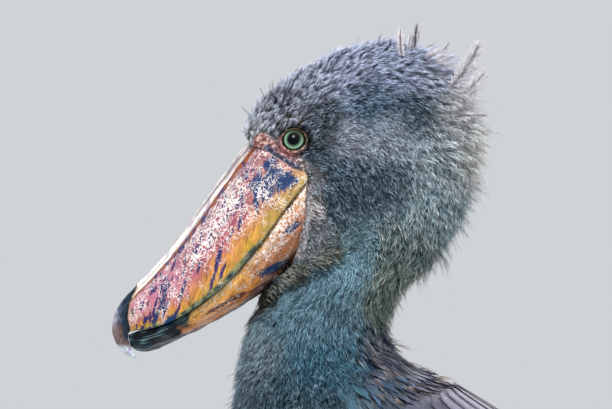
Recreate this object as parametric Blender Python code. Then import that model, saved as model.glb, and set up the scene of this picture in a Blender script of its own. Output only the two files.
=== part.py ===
"""Life-size standing shoebill, head drawn in and bill pointing down.

Metres, +Z up. The bird faces -X and its mid-plane is Y = 0. Sizes are written in millimetres from the
centre of the eye, and the whole bird is set on the floor with its box centred at the end.
"""

import random
from math import copysign, cos, degrees, pi, radians, sin

import bmesh
import bpy
from mathutils import Matrix, Vector

MM = 0.001
GAP = 0.3 * MM
EYE_HEIGHT = 1080 * MM
SIDES = {"left": -1, "right": 1}

# Each row is one section across the bird, by the two points of its outline in the mid-plane, ahead
# or below and behind or above: x and z of one, x and z of the other, then the half width.
BODY = {
    "forehead": (-47.6, -78.7, -40.2, 3.3, 24),
    "brow": (-44.3, -100, -32.8, 26.2, 36),
    "crown front": (-39.4, -114.8, -7.4, 49.2, 44),
    "crown": (-34.4, -123, 41.8, 73.8, 50),
    "crown back": (-30.3, -128.7, 88.6, 79.5, 54.5),
    "nape top": (-28.7, -133.7, 129.6, 55.8, 57.5),
    "nape": (-27.9, -136.9, 148.4, 4.1, 59.5),
    "nape low": (-28.7, -140.2, 142.7, -49.2, 59),
    "hind neck": (-31.2, -143.5, 119.7, -91.8, 56),
    "neck top": (-35.3, -149.2, 90.2, -121.4, 52),
    "neck": (-39, -159, 77, -146, 49),
    "neck low": (-46, -188, 79, -166, 52),
    "neck base": (-49.5, -215, 88, -179, 58),
    "collar": (-54, -250, 103, -191, 69),
    "shoulder": (-60, -295, 129, -208, 86),
    "upper breast": (-61, -345, 163, -229, 103),
    "breast": (-46, -395, 201, -255, 115),
    "keel": (-10, -440, 244, -290, 121),
    "belly": (40, -480, 283, -332, 119),
    "flank": (100, -510, 316, -383, 108),
    "vent": (165, -530, 343, -433, 89),
    "rump": (228, -545, 365, -478, 66),
    "tail root": (285, -552, 386, -515, 44),
    "tail mid": (365, -610, 440, -575, 44),
    "tail end": (455, -705, 500, -670, 50),
}
# Lengths of body between numbered sections: head, neck and trunk, which meet with a hair's gap.
HEAD = (0, 8.5)
NECK = (8.53, 12.6)
TRUNK = (12.612, 22.0)
FULLNESS = 0.82
BODY_POINTS = 20
BODY_STEP = 0.5
# A small step along or round the body, by which its slope is measured.
TINY = 0.02

# The culmen is the bill's top line and the tomium its mouth line: x and z of each, then the half width.
UPPER_BILL = {
    "inside": (-26, 15.6, 19.7, -23, 57),
    "base": (-39.4, -1.6, 7.4, -37.7, 57),
    "nostril": (-54.1, -21.3, -9, -58.2, 57),
    "rear third": (-73, -47.6, -26.2, -82.8, 55.5),
    "middle": (-93.5, -76.3, -47.6, -108.2, 52.5),
    "front third": (-114, -101.7, -70.5, -129.6, 46.5),
    "taper": (-130.4, -119.7, -96.8, -146.8, 38),
    "nail root": (-141.9, -132, -118.9, -155, 27.5),
    "nail": (-149.2, -145.1, -133.7, -157.4, 16.5),
    "nail front": (-150.9, -158.3, -138, -160.7, 10.5),
    "hook": (-146.8, -169.7, -137.2, -166.5, 7),
    "hook end": (-138.6, -178, -134.4, -174, 4),
    "hook tip": (-126.3, -183.7, -127.5, -182.6, 0.8),
}
# The mouth line and the keel line of the lower bill, then the half width.
LOWER_BILL = {
    "inside": (21.3, -19.7, 14.8, -100, 55),
    "base": (7.4, -38.5, -3.3, -105, 56),
    "rear": (-9, -59, -18, -118.1, 55),
    "rear third": (-26.2, -83.6, -34.4, -131.2, 52.5),
    "middle": (-47.6, -109, -54.1, -143.5, 48),
    "front third": (-70.5, -130.4, -77.1, -155.8, 39.5),
    "taper": (-96.8, -147.6, -101.7, -167.3, 30),
    "front": (-118.9, -155.8, -120.5, -174.7, 19.5),
    "chin": (-129, -157.6, -129.6, -174.9, 12),
    "tip": (-132, -158.6, -131.2, -172.5, 7.5),
}
# Half outlines as shares of half width and height. The upper one ends in the groove and the raised ridge.
UPPER_OUTLINE = (
    (1.0, 0.0), (1.0, 0.16), (0.965, 0.33), (0.89, 0.5), (0.77, 0.65), (0.61, 0.77),
    (0.42, 0.855), (0.27, 0.895), (0.205, 0.885), (0.175, 0.94), (0.1, 0.985),
)
LOWER_OUTLINE = ((0.95, 0.0), (1.0, 0.1), (0.98, 0.3), (0.88, 0.55), (0.68, 0.78), (0.36, 0.94))
BILL_STEP = 0.6

# Where feathered head and bare bill meet, seen from the side, forehead to chin.
BILL_EDGE = (
    (-70, 24.2), (-39.4, -1.6), (-32, -4.9), (-24.6, -7), (-18, -14.3), (-10.8, -20), (-2.5, -25.3),
    (2.8, -28.9), (11.5, -30.3), (9.8, -42.6), (9, -64.8), (5.7, -85.3), (-0.8, -103), (-15.6, -117),
    (-32.2, -131.5), (-52, -146), (-80, -162), (-105, -180), (-125, -200),
)
FAR_AHEAD = 230
HALF_BREADTH = 90
BILL_GAP = 0.4
NOSTRIL_PLACE = (-49, 13, -16)
NOSTRIL_HALF = (8.5, 1.5, 1.5)
CULMEN_SLOPE = radians(50)

# The eyeball sits behind an oval rim, which faces aside, a little ahead and a little up.
EYE_RADIUS = 14
EYE_DEPTH = 10.2
LID_SIDE = 46.6
LID_HALF = (11.3, 10.4)
LID_THICK = 2.2
EYE_FORWARD = radians(8)
EYE_UPWARD = radians(15)

# Each crest feather: place along the crown, angle aside, rise from straight back, turn about its own
# length away from broadside, and length.
CREST = (
    (4.22, -30, 97, 20, 34), (4.12, 14, 96, 50, 24), (4.28, 28, 90, 25, 26), (4.42, -16, 91, 30, 30),
    (4.5, 7, 80, 60, 24), (4.62, -10, 70, 30, 26), (4.72, 21, 72, 15, 34), (4.84, 0, 62, 50, 34),
    (4.96, 12, 55, 35, 40), (5.12, -24, 57, 20, 54), (5.2, 10, 50, 40, 44), (5.3, -12, 42, 55, 48),
    (5.42, 19, 34, 25, 40), (5.56, -18, 24, 35, 42), (5.76, 2, 8, 50, 38),
)
CREST_ROOT = 8
CREST_HALF_WIDTH = 4.6
CREST_BEND = radians(16)
CREST_WIDTHS = ((0, 0.6), (0.42, 1.0), (0.8, 0.8), (1, 0.28))
VANE_THICK = 0.7 * MM

# How far the closed wing's bulk stands off the trunk, from its front edge back. It steps down behind
# the roots of each tier, so that the vanes above lie clear of it.
WING_DEPTH = (
    (13.9, 2), (14.3, 13), (14.75, 21.1), (15.05, 17.4), (15.3, 17.7), (15.6, 14.2), (16.4, 14.3),
    (16.7, 10.8), (17.7, 10.9), (18.0, 7.4), (18.6, 7.5), (18.9, 4.0), (19.7, 4.0), (20.0, 0.6),
)
WING_ARC = (8, 105)
WING_POINTS = 9
# Tiers of the closed wing: count, root and tip place along the body, first and last angle down from
# the back at the root and at the tip, height off the trunk at root and tip, half width, steps.
WING_TIERS = {
    "scapular": (3, 14.75, 17.5, (22, 48), (20, 47), (19.5, 20.0), 20, 2),
    "lesser": (4, 15.3, 17.2, (58, 92), (58, 94), (16.1, 16.7), 19, 2),
    "median": (5, 16.4, 18.7, (52, 93), (52, 95), (12.7, 14.0), 17, 2),
    "greater": (6, 17.7, 20.4, (38, 93), (34, 96), (9.3, 12.3), 18.5, 2),
    "tertial": (3, 16.45, 22.5, (15, 29), (15, 42), (12.7, 18.8), 19, 2),
    "secondary": (6, 18.6, 22.3, (38, 93), (40, 92), (5.9, 10.8), 18.5, 2),
    "primary": (3, 19.7, 24.0, (50, 80), (42, 66), (2.4, 6.4), 15, 3),
}
# How much of its depth the wing keeps at each angle down from the back, and how wide a feather of it
# is along its length.
WING_EASE = ((8, 0.35), (42, 1.0), (180, 1.0))
VANE_WIDTHS = ((0, 0.55), (0.3, 1.0), (0.8, 0.95), (0.93, 0.7), (1, 0.3))
SHINGLE_RISE = 1.15
WING_MEET = radians(3)
WING_EDGE = 0.4
WING_SUNK = 4
RAGGED = 0.1
# How much sooner each lower feather of a tier ends than the one above it.
TIER_SLANT = {"greater": 0.05, "secondary": 0.12, "primary": 0.35}

# The tail's fleshy root: place along the body, and its size as a share of the section there.
TAIL_ROOT = ((22.012, 1.0), (22.25, 0.95), (22.5, 0.86), (22.75, 0.66), (23, 0.45))
QUILL_START = 22.15
QUILL_END = 24
TAIL_PAIRS = 6
TAIL_LENGTH = 232
TAIL_SHORTER = 4
TAIL_HALF_WIDTH = 17
TAIL_FAN = radians(2.6)
TAIL_LAYER = 1.1
TAIL_WIDTHS = ((0, 0.33), (0.35, 1), (0.9, 0.8), (1, 0.3))
QUILL_ASIDE = (2.5, 4.2)

HIP = (150, 58, -455)
THIGH_END = (156, 66, -722)
# Share of the way down the thigh, then its half size along and across the bird.
THIGH = (
    (0, 38, 20), (0.1, 60, 32), (0.24, 67, 38), (0.42, 58, 36), (0.6, 43, 30), (0.78, 30, 24),
    (0.92, 21, 19), (1, 16, 15),
)
THIGH_SIDES = 14
ANKLE = (186, 68, -808)
FOOT = (152, 71, -1056)
FOOT_STAGGER = {"left": -16, "right": 16}
# Share of the way from below the feathers to the ankle, and from there to the foot, then the radius.
SHIN_STRAIGHT = 12
SHIN = ((0, 11.5), (0.7, 11), (0.9, 15.5), (1, 15.5))
TARSUS = ((0.09, 15.5), (0.2, 11), (0.6, 8.6), (1, 11), (1.065, 11))
PALM_HALF = (27, 25, 16)
PALM_HEIGHT = 12
# Heading away from straight ahead and place aside, both towards the outside of the bird, then length,
# root radius and count of joints.
TOES = {
    "inner": (-23, -10, 118, 7.2, 2),
    "middle": (2, 0, 148, 7.6, 3),
    "outer": (28, 10, 124, 7.2, 4),
    "hind": (172, 0, 78, 7.2, 1),
}
TOE_SIDES = 8
TOE_START = 12
TOE_TAPER = 0.34
JOINT_SWELL = 0.11
TOE_SQUASH = 0.86
SOLE_SHAVED = 0.6
CLAW_SIDES = 8
CLAW_RINGS = 5
CLAW_LENGTH = 25
CLAW_RADIUS = 4.2
CLAW_SLIM = 0.8
CLAW_TAPER = 0.88
CLAW_HEIGHT = 4.8
CLAW_TIP_HEIGHT = 1.0
CLAW_CLEAR = 0.2
SMOOTH_BELOW = radians(40)

COLOURS = {
    "plumage": ((0.20, 0.24, 0.28, 1), 0.85),
    "flight feather": ((0.14, 0.17, 0.21, 1), 0.7),
    "upper bill": ((0.62, 0.40, 0.26, 1), 0.45),
    "lower bill": ((0.60, 0.42, 0.20, 1), 0.45),
    "eye": ((0.45, 0.55, 0.40, 1), 0.08),
    "leg skin": ((0.12, 0.12, 0.13, 1), 0.6),
    "claw": ((0.07, 0.06, 0.06, 1), 0.35),
}

parts = bpy.data.collections.new("shoebill")
cutters = bpy.data.collections.new("cutters")


def clear_scene():
    for old in list(bpy.data.objects):
        bpy.data.objects.remove(old)
    for collection in (parts, cutters):
        bpy.context.scene.collection.children.link(collection)


def at_eye(x, y, z):
    """A point in metres from millimetres back, to the right and up from the eye."""
    return Vector((x * MM, y * MM, z * MM + EYE_HEIGHT))


def material(name):
    found = bpy.data.materials.get(name)
    if found:
        return found
    colour, roughness = COLOURS[name]
    found = bpy.data.materials.new(name)
    found.use_nodes = True
    shader = found.node_tree.nodes["Principled BSDF"]
    shader.inputs["Base Color"].default_value = colour
    shader.inputs["Roughness"].default_value = roughness
    shader.inputs["Metallic"].default_value = 0.0
    return found


def object_of(mesh, name, finish, collection):
    made = bpy.data.objects.new(name, mesh)
    collection.objects.link(made)
    mesh.materials.append(material(finish))
    return made


def smooth_rows(rows, place):
    """A row between the rows of a table, along a curve that runs through all of them."""
    last = len(rows) - 1
    start = min(max(int(place), 0), last - 1)
    share = place - start
    near = [rows[min(max(start + step, 0), last)] for step in (-1, 0, 1, 2)]
    weights = (
        (-share + 2 * share**2 - share**3) / 2,
        (2 - 5 * share**2 + 3 * share**3) / 2,
        (share + 4 * share**2 - 3 * share**3) / 2,
        (-(share**2) + share**3) / 2,
    )
    return [sum(weight * row[i] for weight, row in zip(weights, near)) for i in range(len(rows[0]))]


def between(pairs, place):
    """The value at a place along a list of (place, value) pairs."""
    for (low, first), (high, second) in zip(pairs, pairs[1:]):
        if place <= high:
            return first + (second - first) * max(place - low, 0) / (high - low)
    return pairs[-1][1]


def steps(first, last, step):
    count = max(2, round((last - first) / step) + 1)
    return [first + (last - first) * i / (count - 1) for i in range(count)]


def loft(name, rings, finish, collection=parts):
    """A closed surface through rings of like point counts, with a flat cap on each end ring."""
    mesh = bpy.data.meshes.new(name)
    shape = bmesh.new()
    loops = [[shape.verts.new(point) for point in ring] for ring in rings]
    count = len(loops[0])
    for low, high in zip(loops, loops[1:]):
        for i in range(count):
            j = (i + 1) % count
            shape.faces.new((low[i], low[j], high[j]))
            shape.faces.new((low[i], high[j], high[i]))
    shape.faces.new(loops[0])
    shape.faces.new(loops[-1])
    bmesh.ops.triangulate(shape, faces=shape.faces[:])
    bmesh.ops.recalc_face_normals(shape, faces=shape.faces[:])
    shape.to_mesh(mesh)
    shape.free()
    return object_of(mesh, name, finish, collection)


def body_point(place, angle, lift=0.0):
    """A point of the body's surface: a section's number and the angle down from the back, positive to
    the right. lift moves it out by that many millimetres."""
    low_x, low_z, high_x, high_z, half = smooth_rows(list(BODY.values()), place)
    low, high = at_eye(low_x, 0, low_z), at_eye(high_x, 0, high_z)
    middle = (low + high) / 2
    up = (high - middle) * cos(angle)
    side = Vector((0, half * MM * copysign(abs(sin(angle)) ** FULLNESS, sin(angle)), 0))
    if not lift:
        return middle + up + side
    return middle + up + side + body_normal(place, angle) * lift * MM


def body_normal(place, angle):
    """The way out of the body's surface."""
    along = body_point(place + TINY, angle) - body_point(place - TINY, angle)
    around = body_point(place, angle + TINY) - body_point(place, angle - TINY)
    return along.cross(around).normalized()


def body_ring(place, grow=0.0):
    if grow:
        return [body_point(place, 2 * pi * i / BODY_POINTS, grow / MM) for i in range(BODY_POINTS)]
    return [body_point(place, 2 * pi * i / BODY_POINTS) for i in range(BODY_POINTS)]


def body_length(name, first, last, finish="plumage", grow=0.0, collection=parts):
    rings = [body_ring(place, grow) for place in steps(first, last, BODY_STEP)]
    return loft(name, rings, finish, collection)


def settle(body):
    """Replaces an object's mesh by the one that its modifiers give."""
    graph = bpy.context.evaluated_depsgraph_get()
    mesh = bpy.data.meshes.new_from_object(body.evaluated_get(graph))
    body.modifiers.clear()
    body.data = mesh


def combine(body, others, operation, solver="MANIFOLD"):
    """Joins or cuts body with a list of closed mesh objects, which are then removed."""
    group = bpy.data.collections.new("group")
    bpy.context.scene.collection.children.link(group)
    for other in others:
        for home in list(other.users_collection):
            home.objects.unlink(other)
        group.objects.link(other)
    change = body.modifiers.new("change", "BOOLEAN")
    change.operation = operation
    change.operand_type = "COLLECTION"
    change.collection = group
    change.solver = solver
    settle(body)
    for other in list(group.objects):
        bpy.data.objects.remove(other)
    bpy.data.collections.remove(group)


def islands(shape):
    """The sets of points that hang together, one for each separate piece of a mesh."""
    left, found = set(shape.verts), []
    while left:
        reached, queue = set(), [left.pop()]
        while queue:
            vert = queue.pop()
            reached.add(vert)
            for edge in vert.link_edges:
                other = edge.other_vert(vert)
                if other in left:
                    left.discard(other)
                    queue.append(other)
        found.append(reached)
    return found


def reach(verts):
    """The product of a set of points' extents, which ranks the pieces of a mesh by size."""
    spans = [max(v.co[i] for v in verts) - min(v.co[i] for v in verts) for i in range(3)]
    return spans[0] * spans[1] * spans[2]


def keep_largest(body):
    """Drops all of a mesh but its largest piece."""
    shape = bmesh.new()
    shape.from_mesh(body.data)
    found = sorted(islands(shape), key=reach)
    for scrap in found[:-1]:
        bmesh.ops.delete(shape, geom=list(scrap), context="VERTS")
    shape.to_mesh(body.data)
    shape.free()


def ball(name, centre, half, finish, segments=18, rings=12, turn=None, collection=parts):
    """A sphere or ellipsoid of the given half sizes in metres."""
    mesh = bpy.data.meshes.new(name)
    shape = bmesh.new()
    bmesh.ops.create_uvsphere(shape, u_segments=segments, v_segments=rings, radius=1)
    place = Matrix.Translation(centre) @ (turn or Matrix()) @ Matrix.Diagonal((*half, 1))
    bmesh.ops.transform(shape, matrix=place, verts=shape.verts[:])
    shape.to_mesh(mesh)
    shape.free()
    return object_of(mesh, name, finish, collection)


def slab(name, outline, half_depth, collection=cutters):
    """A flat outline in the mid-plane, drawn as a filled curve and extruded to both sides."""
    curve = bpy.data.curves.new(name, "CURVE")
    curve.dimensions = "2D"
    curve.fill_mode = "BOTH"
    curve.extrude = half_depth
    line = curve.splines.new("POLY")
    line.points.add(len(outline) - 1)
    for point, (x, z) in zip(line.points, outline):
        point.co = (x * MM, z * MM, 0, 1)
    line.use_cyclic_u = True
    drawn = bpy.data.objects.new(name, curve)
    collection.objects.link(drawn)
    drawn.rotation_euler = (pi / 2, 0, 0)
    drawn.location = (0, 0, EYE_HEIGHT)
    return as_mesh(drawn, collection)


def as_mesh(drawn, collection, finish="plumage"):
    """Turns a curve object into a mesh object with welded caps, in world space."""
    bpy.context.view_layer.update()
    graph = bpy.context.evaluated_depsgraph_get()
    mesh = bpy.data.meshes.new_from_object(drawn.evaluated_get(graph))
    mesh.transform(drawn.matrix_world)
    name = drawn.name
    bpy.data.objects.remove(drawn)
    shape = bmesh.new()
    shape.from_mesh(mesh)
    bmesh.ops.remove_doubles(shape, verts=shape.verts[:], dist=0.01 * MM)
    bmesh.ops.triangulate(shape, faces=shape.faces[:])
    bmesh.ops.recalc_face_normals(shape, faces=shape.faces[:])
    shape.to_mesh(mesh)
    shape.free()
    mesh.materials.clear()
    return object_of(mesh, name, finish, collection)


def bill_region(name, shift=0.0):
    """The block of space ahead of the feather edge, which parts bill from head."""
    edge = [(x - shift, z) for x, z in BILL_EDGE]
    corners = [(-FAR_AHEAD, edge[-1][1]), (-FAR_AHEAD, edge[0][1])]
    return slab(name, edge + corners, HALF_BREADTH * MM)


def vane(name, rows, finish="flight feather"):
    """A thin vane from rows of left, middle and right points and the way out of its upper face."""
    rings = []
    for left, middle, right, out in rows:
        rise = out * VANE_THICK / 2
        rings.append(
            [left + rise, middle + rise, right + rise, right - rise, middle - rise, left - rise]
        )
    return even_loft(name, rings, finish)


def even_loft(name, rings, finish):
    """A loft of six-point rings whose upper and lower faces are split along the same diagonals."""
    mesh = bpy.data.meshes.new(name)
    shape = bmesh.new()
    loops = [[shape.verts.new(point) for point in ring] for ring in rings]
    for low, high in zip(loops, loops[1:]):
        for i, j in ((0, 1), (1, 2), (2, 3), (5, 0)):
            shape.faces.new((low[i], low[j], high[j]))
            shape.faces.new((low[i], high[j], high[i]))
        for i, j in ((3, 4), (4, 5)):
            shape.faces.new((low[i], low[j], high[i]))
            shape.faces.new((low[j], high[j], high[i]))
    for ring in (loops[0], loops[-1]):
        shape.faces.new(ring)
    bmesh.ops.triangulate(shape, faces=shape.faces[:])
    bmesh.ops.recalc_face_normals(shape, faces=shape.faces[:])
    shape.to_mesh(mesh)
    shape.free()
    return object_of(mesh, name, finish, parts)


def ease_in(angle):
    """How much of the wing's depth is reached at an angle down from the back."""
    return between(WING_EASE, degrees(angle))


def body_vane(name, side, tier, number, end):
    """A vane of a tier laid along the trunk, with its lower edge raised over the next one down."""
    count, root, tip, at_root, at_tip, lifts, half, pieces = tier
    rows = []
    for share in [0] + [0.3 + 0.7 * (i / pieces) ** 0.8 for i in range(pieces + 1)]:
        place = root + (end - root) * share
        way = (place - root) / (tip - root)
        first, last = (radians(near + (far - near) * way) for near, far in zip(at_root, at_tip))
        apart = (last - first) / (count - 1)
        angle = first + apart * number
        lift = lifts[0] + (lifts[1] - lifts[0]) * way
        across = (body_point(place, angle + TINY) - body_point(place, angle - TINY)).length / (2 * TINY)
        turn = half * MM * between(VANE_WIDTHS, share) / across
        tilt = SHINGLE_RISE * turn / apart
        top = max(angle - turn, WING_MEET)
        middle, low = max(angle, top + turn / 4), angle + turn
        rows.append(
            (
                body_point(place, side * top, (lift - tilt) * ease_in(top)),
                body_point(place, side * middle, lift * ease_in(middle)),
                body_point(place, side * low, (lift + tilt) * ease_in(low)),
                body_normal(place, side * angle),
            )
        )
    return vane(name, rows)


def wing_shield(name, side):
    """The arm of the closed wing with its smallest feathers, from wrist to the roots of the quills."""
    rings = []
    first, last = (radians(angle) for angle in WING_ARC)
    for place, depth in WING_DEPTH:
        outer, inner = [], []
        for i in range(WING_POINTS):
            share = i / (WING_POINTS - 1)
            angle = side * (first + (last - first) * share)
            round_off = WING_EDGE if share in (0, 1) else 1.0
            outer.append(body_point(place, angle, depth * round_off * ease_in(abs(angle))))
            inner.append(body_point(place, angle, -WING_SUNK))
        rings.append(outer + inner[::-1])
    return loft(name, rings, "plumage")


def wing(side_word, side):
    """One closed wing: the shield and its tiers of feathers, hollowed to sit on the trunk."""
    name = f"{side_word}_wing"
    draw = random.Random(name)
    made = wing_shield(name, side)
    vanes = []
    for word, tier in WING_TIERS.items():
        for number in range(tier[0]):
            end = tier[2] + draw.uniform(-RAGGED, RAGGED) - TIER_SLANT.get(word, 0) * number
            vanes.append(body_vane(f"{name} {word} {number}", side, tier, number, end))
    combine(made, vanes, "UNION")
    bed = body_length("bed", *TRUNK, grow=GAP, collection=cutters)
    combine(made, [bed], "DIFFERENCE")
    keep_largest(made)
    return made


def body_middle(place):
    """The middle of the body's section at a place along it."""
    low_x, low_z, high_x, high_z, _ = smooth_rows(list(BODY.values()), place)
    return (at_eye(low_x, 0, low_z) + at_eye(high_x, 0, high_z)) / 2


def tail_quill(name, side, pair, start, along, up):
    """One flat tail feather, lower and further out than the pair before it."""
    level = (2 * pair + (side > 0) - TAIL_PAIRS) * TAIL_LAYER * MM
    heading = Matrix.Rotation(side * TAIL_FAN * (pair + 0.4), 3, up) @ along
    across = up.cross(heading).normalized()
    aside = Vector((0, side * (QUILL_ASIDE[0] + QUILL_ASIDE[1] * pair) * MM, 0))
    length = (TAIL_LENGTH - TAIL_SHORTER * pair) * MM
    rows = []
    for share, width in TAIL_WIDTHS:
        middle = start - up * level + aside + heading * length * share
        half = across * TAIL_HALF_WIDTH * MM * width
        rows.append((middle - half, middle, middle + half, up))
    return vane(name, rows)


def tail():
    """The tail's root and its twelve quills, the middle pair on top."""
    rings = []
    for place, size in TAIL_ROOT:
        middle = body_middle(place)
        rings.append([middle + (point - middle) * size for point in body_ring(place)])
    made = loft("tail", rings, "plumage")
    start = body_middle(QUILL_START)
    along = (body_middle(QUILL_END) - start).normalized()
    up = Vector((-along.z, 0, along.x))
    vanes = []
    for pair in range(TAIL_PAIRS):
        for word, side in SIDES.items():
            vanes.append(tail_quill(f"tail {word} {pair}", side, pair, start, along, up))
    combine(made, vanes, "UNION")
    keep_largest(made)
    return made


def crest_vane(place, aside, rise, turn, length):
    """One upright feather at the back of the crown, bent a little back on its way."""
    middle = body_point(place, radians(aside), -CREST_ROOT)
    rows, done = [], 0
    for share, width in CREST_WIDTHS:
        angle = radians(rise) - CREST_BEND * (2 * share - 0.6)
        heading = Vector((cos(angle), sin(radians(aside)) / 2, sin(angle))).normalized()
        middle = middle + heading * (length + CREST_ROOT) * MM * (share - done)
        broad = heading.cross(Vector((0, 1, 0))).normalized()
        across = Matrix.Rotation(radians(turn), 3, heading) @ broad
        half = across * CREST_HALF_WIDTH * MM * width
        rows.append((middle - half, middle, middle + half, across.cross(heading).normalized()))
        done = share
    return vane("crest vane", rows, "plumage")


def eye_frame(side, depth=0.0):
    """Axes at the middle of one eye's rim: back, up and out of the head. depth is in millimetres."""
    ahead = -sin(EYE_FORWARD) * cos(EYE_UPWARD)
    out = Vector((ahead, side * cos(EYE_FORWARD) * cos(EYE_UPWARD), sin(EYE_UPWARD)))
    up = (Vector((0, 0, 1)) - out * out.z).normalized()
    turn = Matrix((up.cross(out), up, out)).transposed().to_4x4()
    return Matrix.Translation(at_eye(0, side * LID_SIDE, 0) - out * depth * MM) @ turn


def lid(word, side):
    """The rim of bare skin round one eye."""
    bpy.ops.mesh.primitive_torus_add(
        major_segments=20, minor_segments=6, major_radius=1, minor_radius=LID_THICK / LID_HALF[0]
    )
    ring = bpy.context.object
    ring.name = f"{word} lid"
    stretch = Matrix.Diagonal((LID_HALF[0] * MM, LID_HALF[1] * MM, LID_HALF[0] * MM, 1))
    ring.data.transform(eye_frame(side) @ stretch)
    ring.data.materials.append(material("plumage"))
    return ring


def eye(word, side, grow=0.0, collection=parts):
    size = (EYE_RADIUS * MM + grow,) * 3
    frame = eye_frame(side, EYE_DEPTH)
    return ball(f"{word}_eye", frame.translation, size, "eye", 16, 9, frame.to_3x3().to_4x4(), collection)


def head():
    """The feathered head with its crest and the rims of its eyes, cut back to where the bill begins."""
    made = body_length("head", *HEAD)
    lids = [lid(word, side) for word, side in SIDES.items()]
    combine(made, lids + [crest_vane(*row) for row in CREST], "UNION")
    sockets = [eye(f"{word} socket", side, GAP, cutters) for word, side in SIDES.items()]
    combine(made, sockets + [bill_region("bill space")], "DIFFERENCE", "EXACT")
    keep_largest(made)
    return made


def bill_ring(row, outline):
    """One section of the bill, from a side edge over the ridge or keel to the other and back."""
    ridge, edge, half = at_eye(row[0], 0, row[1]), at_eye(row[2], 0, row[3]), row[4] * MM
    points = [(across, up) for across, up in outline] + [(0, 1.0)]
    points += [(-across, up) for across, up in outline[::-1]] + [(0, 0)]
    return [edge + (ridge - edge) * up + Vector((0, across * half, 0)) for across, up in points]


def bill_half(name, table, outline, finish):
    rows = list(table.values())
    rings = [bill_ring(smooth_rows(rows, place), outline) for place in steps(0, len(rows) - 1, BILL_STEP)]
    made = loft(name, rings, finish)
    combine(made, [bill_region("bill room", BILL_GAP)], "INTERSECT", "EXACT")
    return made


def upper_bill():
    made = bill_half("upper_bill", UPPER_BILL, UPPER_OUTLINE, "upper bill")
    slots = []
    for word, side in SIDES.items():
        x, y, z = NOSTRIL_PLACE
        turn = Matrix.Rotation(-CULMEN_SLOPE, 4, "Y")
        half = [size * MM for size in NOSTRIL_HALF]
        slots.append(ball(f"{word} nostril", at_eye(x, side * y, z), half, "upper bill", 10, 6, turn, cutters))
    combine(made, slots, "DIFFERENCE", "EXACT")
    keep_largest(made)
    return made


def lower_bill():
    flipped = {name: (row[2], row[3], row[0], row[1], row[4]) for name, row in LOWER_BILL.items()}
    made = bill_half("lower_bill", flipped, LOWER_OUTLINE, "lower bill")
    keep_largest(made)
    return made


def oval(centre, half_x, half_y, count):
    return [
        centre + Vector((half_x * cos(2 * pi * i / count), half_y * sin(2 * pi * i / count), 0))
        for i in range(count)
    ]


def thigh(word, side):
    """The feathered upper leg, cut to the trunk where it leaves it."""
    rings = []
    for share, half_x, half_y in THIGH:
        x, y, z = (HIP[k] + (THIGH_END[k] - HIP[k]) * share for k in range(3))
        rings.append(oval(at_eye(x, side * y, z), half_x * MM, half_y * MM, THIGH_SIDES))
    made = loft(f"{word}_thigh", rings, "plumage")
    bed = body_length("bed", *TRUNK, grow=GAP, collection=cutters)
    combine(made, [bed], "DIFFERENCE")
    keep_largest(made)
    return made


def tube(name, points, radii, finish):
    """A round limb drawn as a curve, thicker and thinner along its way."""
    curve = bpy.data.curves.new(name, "CURVE")
    curve.dimensions = "3D"
    curve.bevel_depth = 1.0
    curve.bevel_resolution = 2
    curve.use_fill_caps = True
    line = curve.splines.new("POLY")
    line.points.add(len(points) - 1)
    for point, place, radius in zip(line.points, points, radii):
        point.co = (*place, 1)
        point.radius = radius
    drawn = bpy.data.objects.new(name, curve)
    parts.objects.link(drawn)
    return as_mesh(drawn, parts, finish)


def palm(word, side, grow=0.0, collection=parts):
    x, y = FOOT[0] + FOOT_STAGGER[word], side * FOOT[1]
    centre = Vector((x * MM, y * MM, PALM_HEIGHT * MM))
    half = [size * MM + grow for size in PALM_HALF]
    return ball(f"{word} palm", centre, half, "leg skin", 20, 12, collection=collection)


def floor_block():
    """A metre of space under the floor, which cuts small flats on the soles."""
    bpy.ops.mesh.primitive_cube_add(size=1)
    block = bpy.context.object
    block.data.transform(Matrix.Translation((FOOT[0] * MM, 0, -0.5)))
    return block


def shank(word, side):
    """The bare leg below the feathers, with the ankle joint and the palm of the foot."""
    stagger = FOOT_STAGGER[word]
    top = at_eye(THIGH_END[0], side * THIGH_END[1], THIGH_END[2]) - Vector((0, 0, GAP))
    start = top - Vector((0, 0, SHIN_STRAIGHT * MM))
    ankle = at_eye(ANKLE[0] + stagger / 2, side * ANKLE[1], ANKLE[2])
    foot = at_eye(FOOT[0] + stagger, side * FOOT[1], FOOT[2])
    points = [top] + [start.lerp(ankle, share) for share, radius in SHIN]
    points += [ankle + (foot - ankle) * share for share, radius in TARSUS]
    radii = [radius * MM for share, radius in SHIN[:1] + SHIN + TARSUS]
    made = tube(f"{word}_shank", points, radii, "leg skin")
    combine(made, [palm(word, side)], "UNION")
    combine(made, [floor_block()], "DIFFERENCE")
    keep_largest(made)
    return made


def toe_ring(middle, across, size):
    """A section of a toe, shaved flat where it rests on the floor."""
    points = []
    for i in range(TOE_SIDES):
        angle = 2 * pi * (i + 0.5) / TOE_SIDES
        height = max(TOE_SQUASH * size * (1 + sin(angle)) - SOLE_SHAVED, 0) * MM
        points.append(middle + across * cos(angle) * size * MM + Vector((0, 0, height)))
    return points


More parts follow.
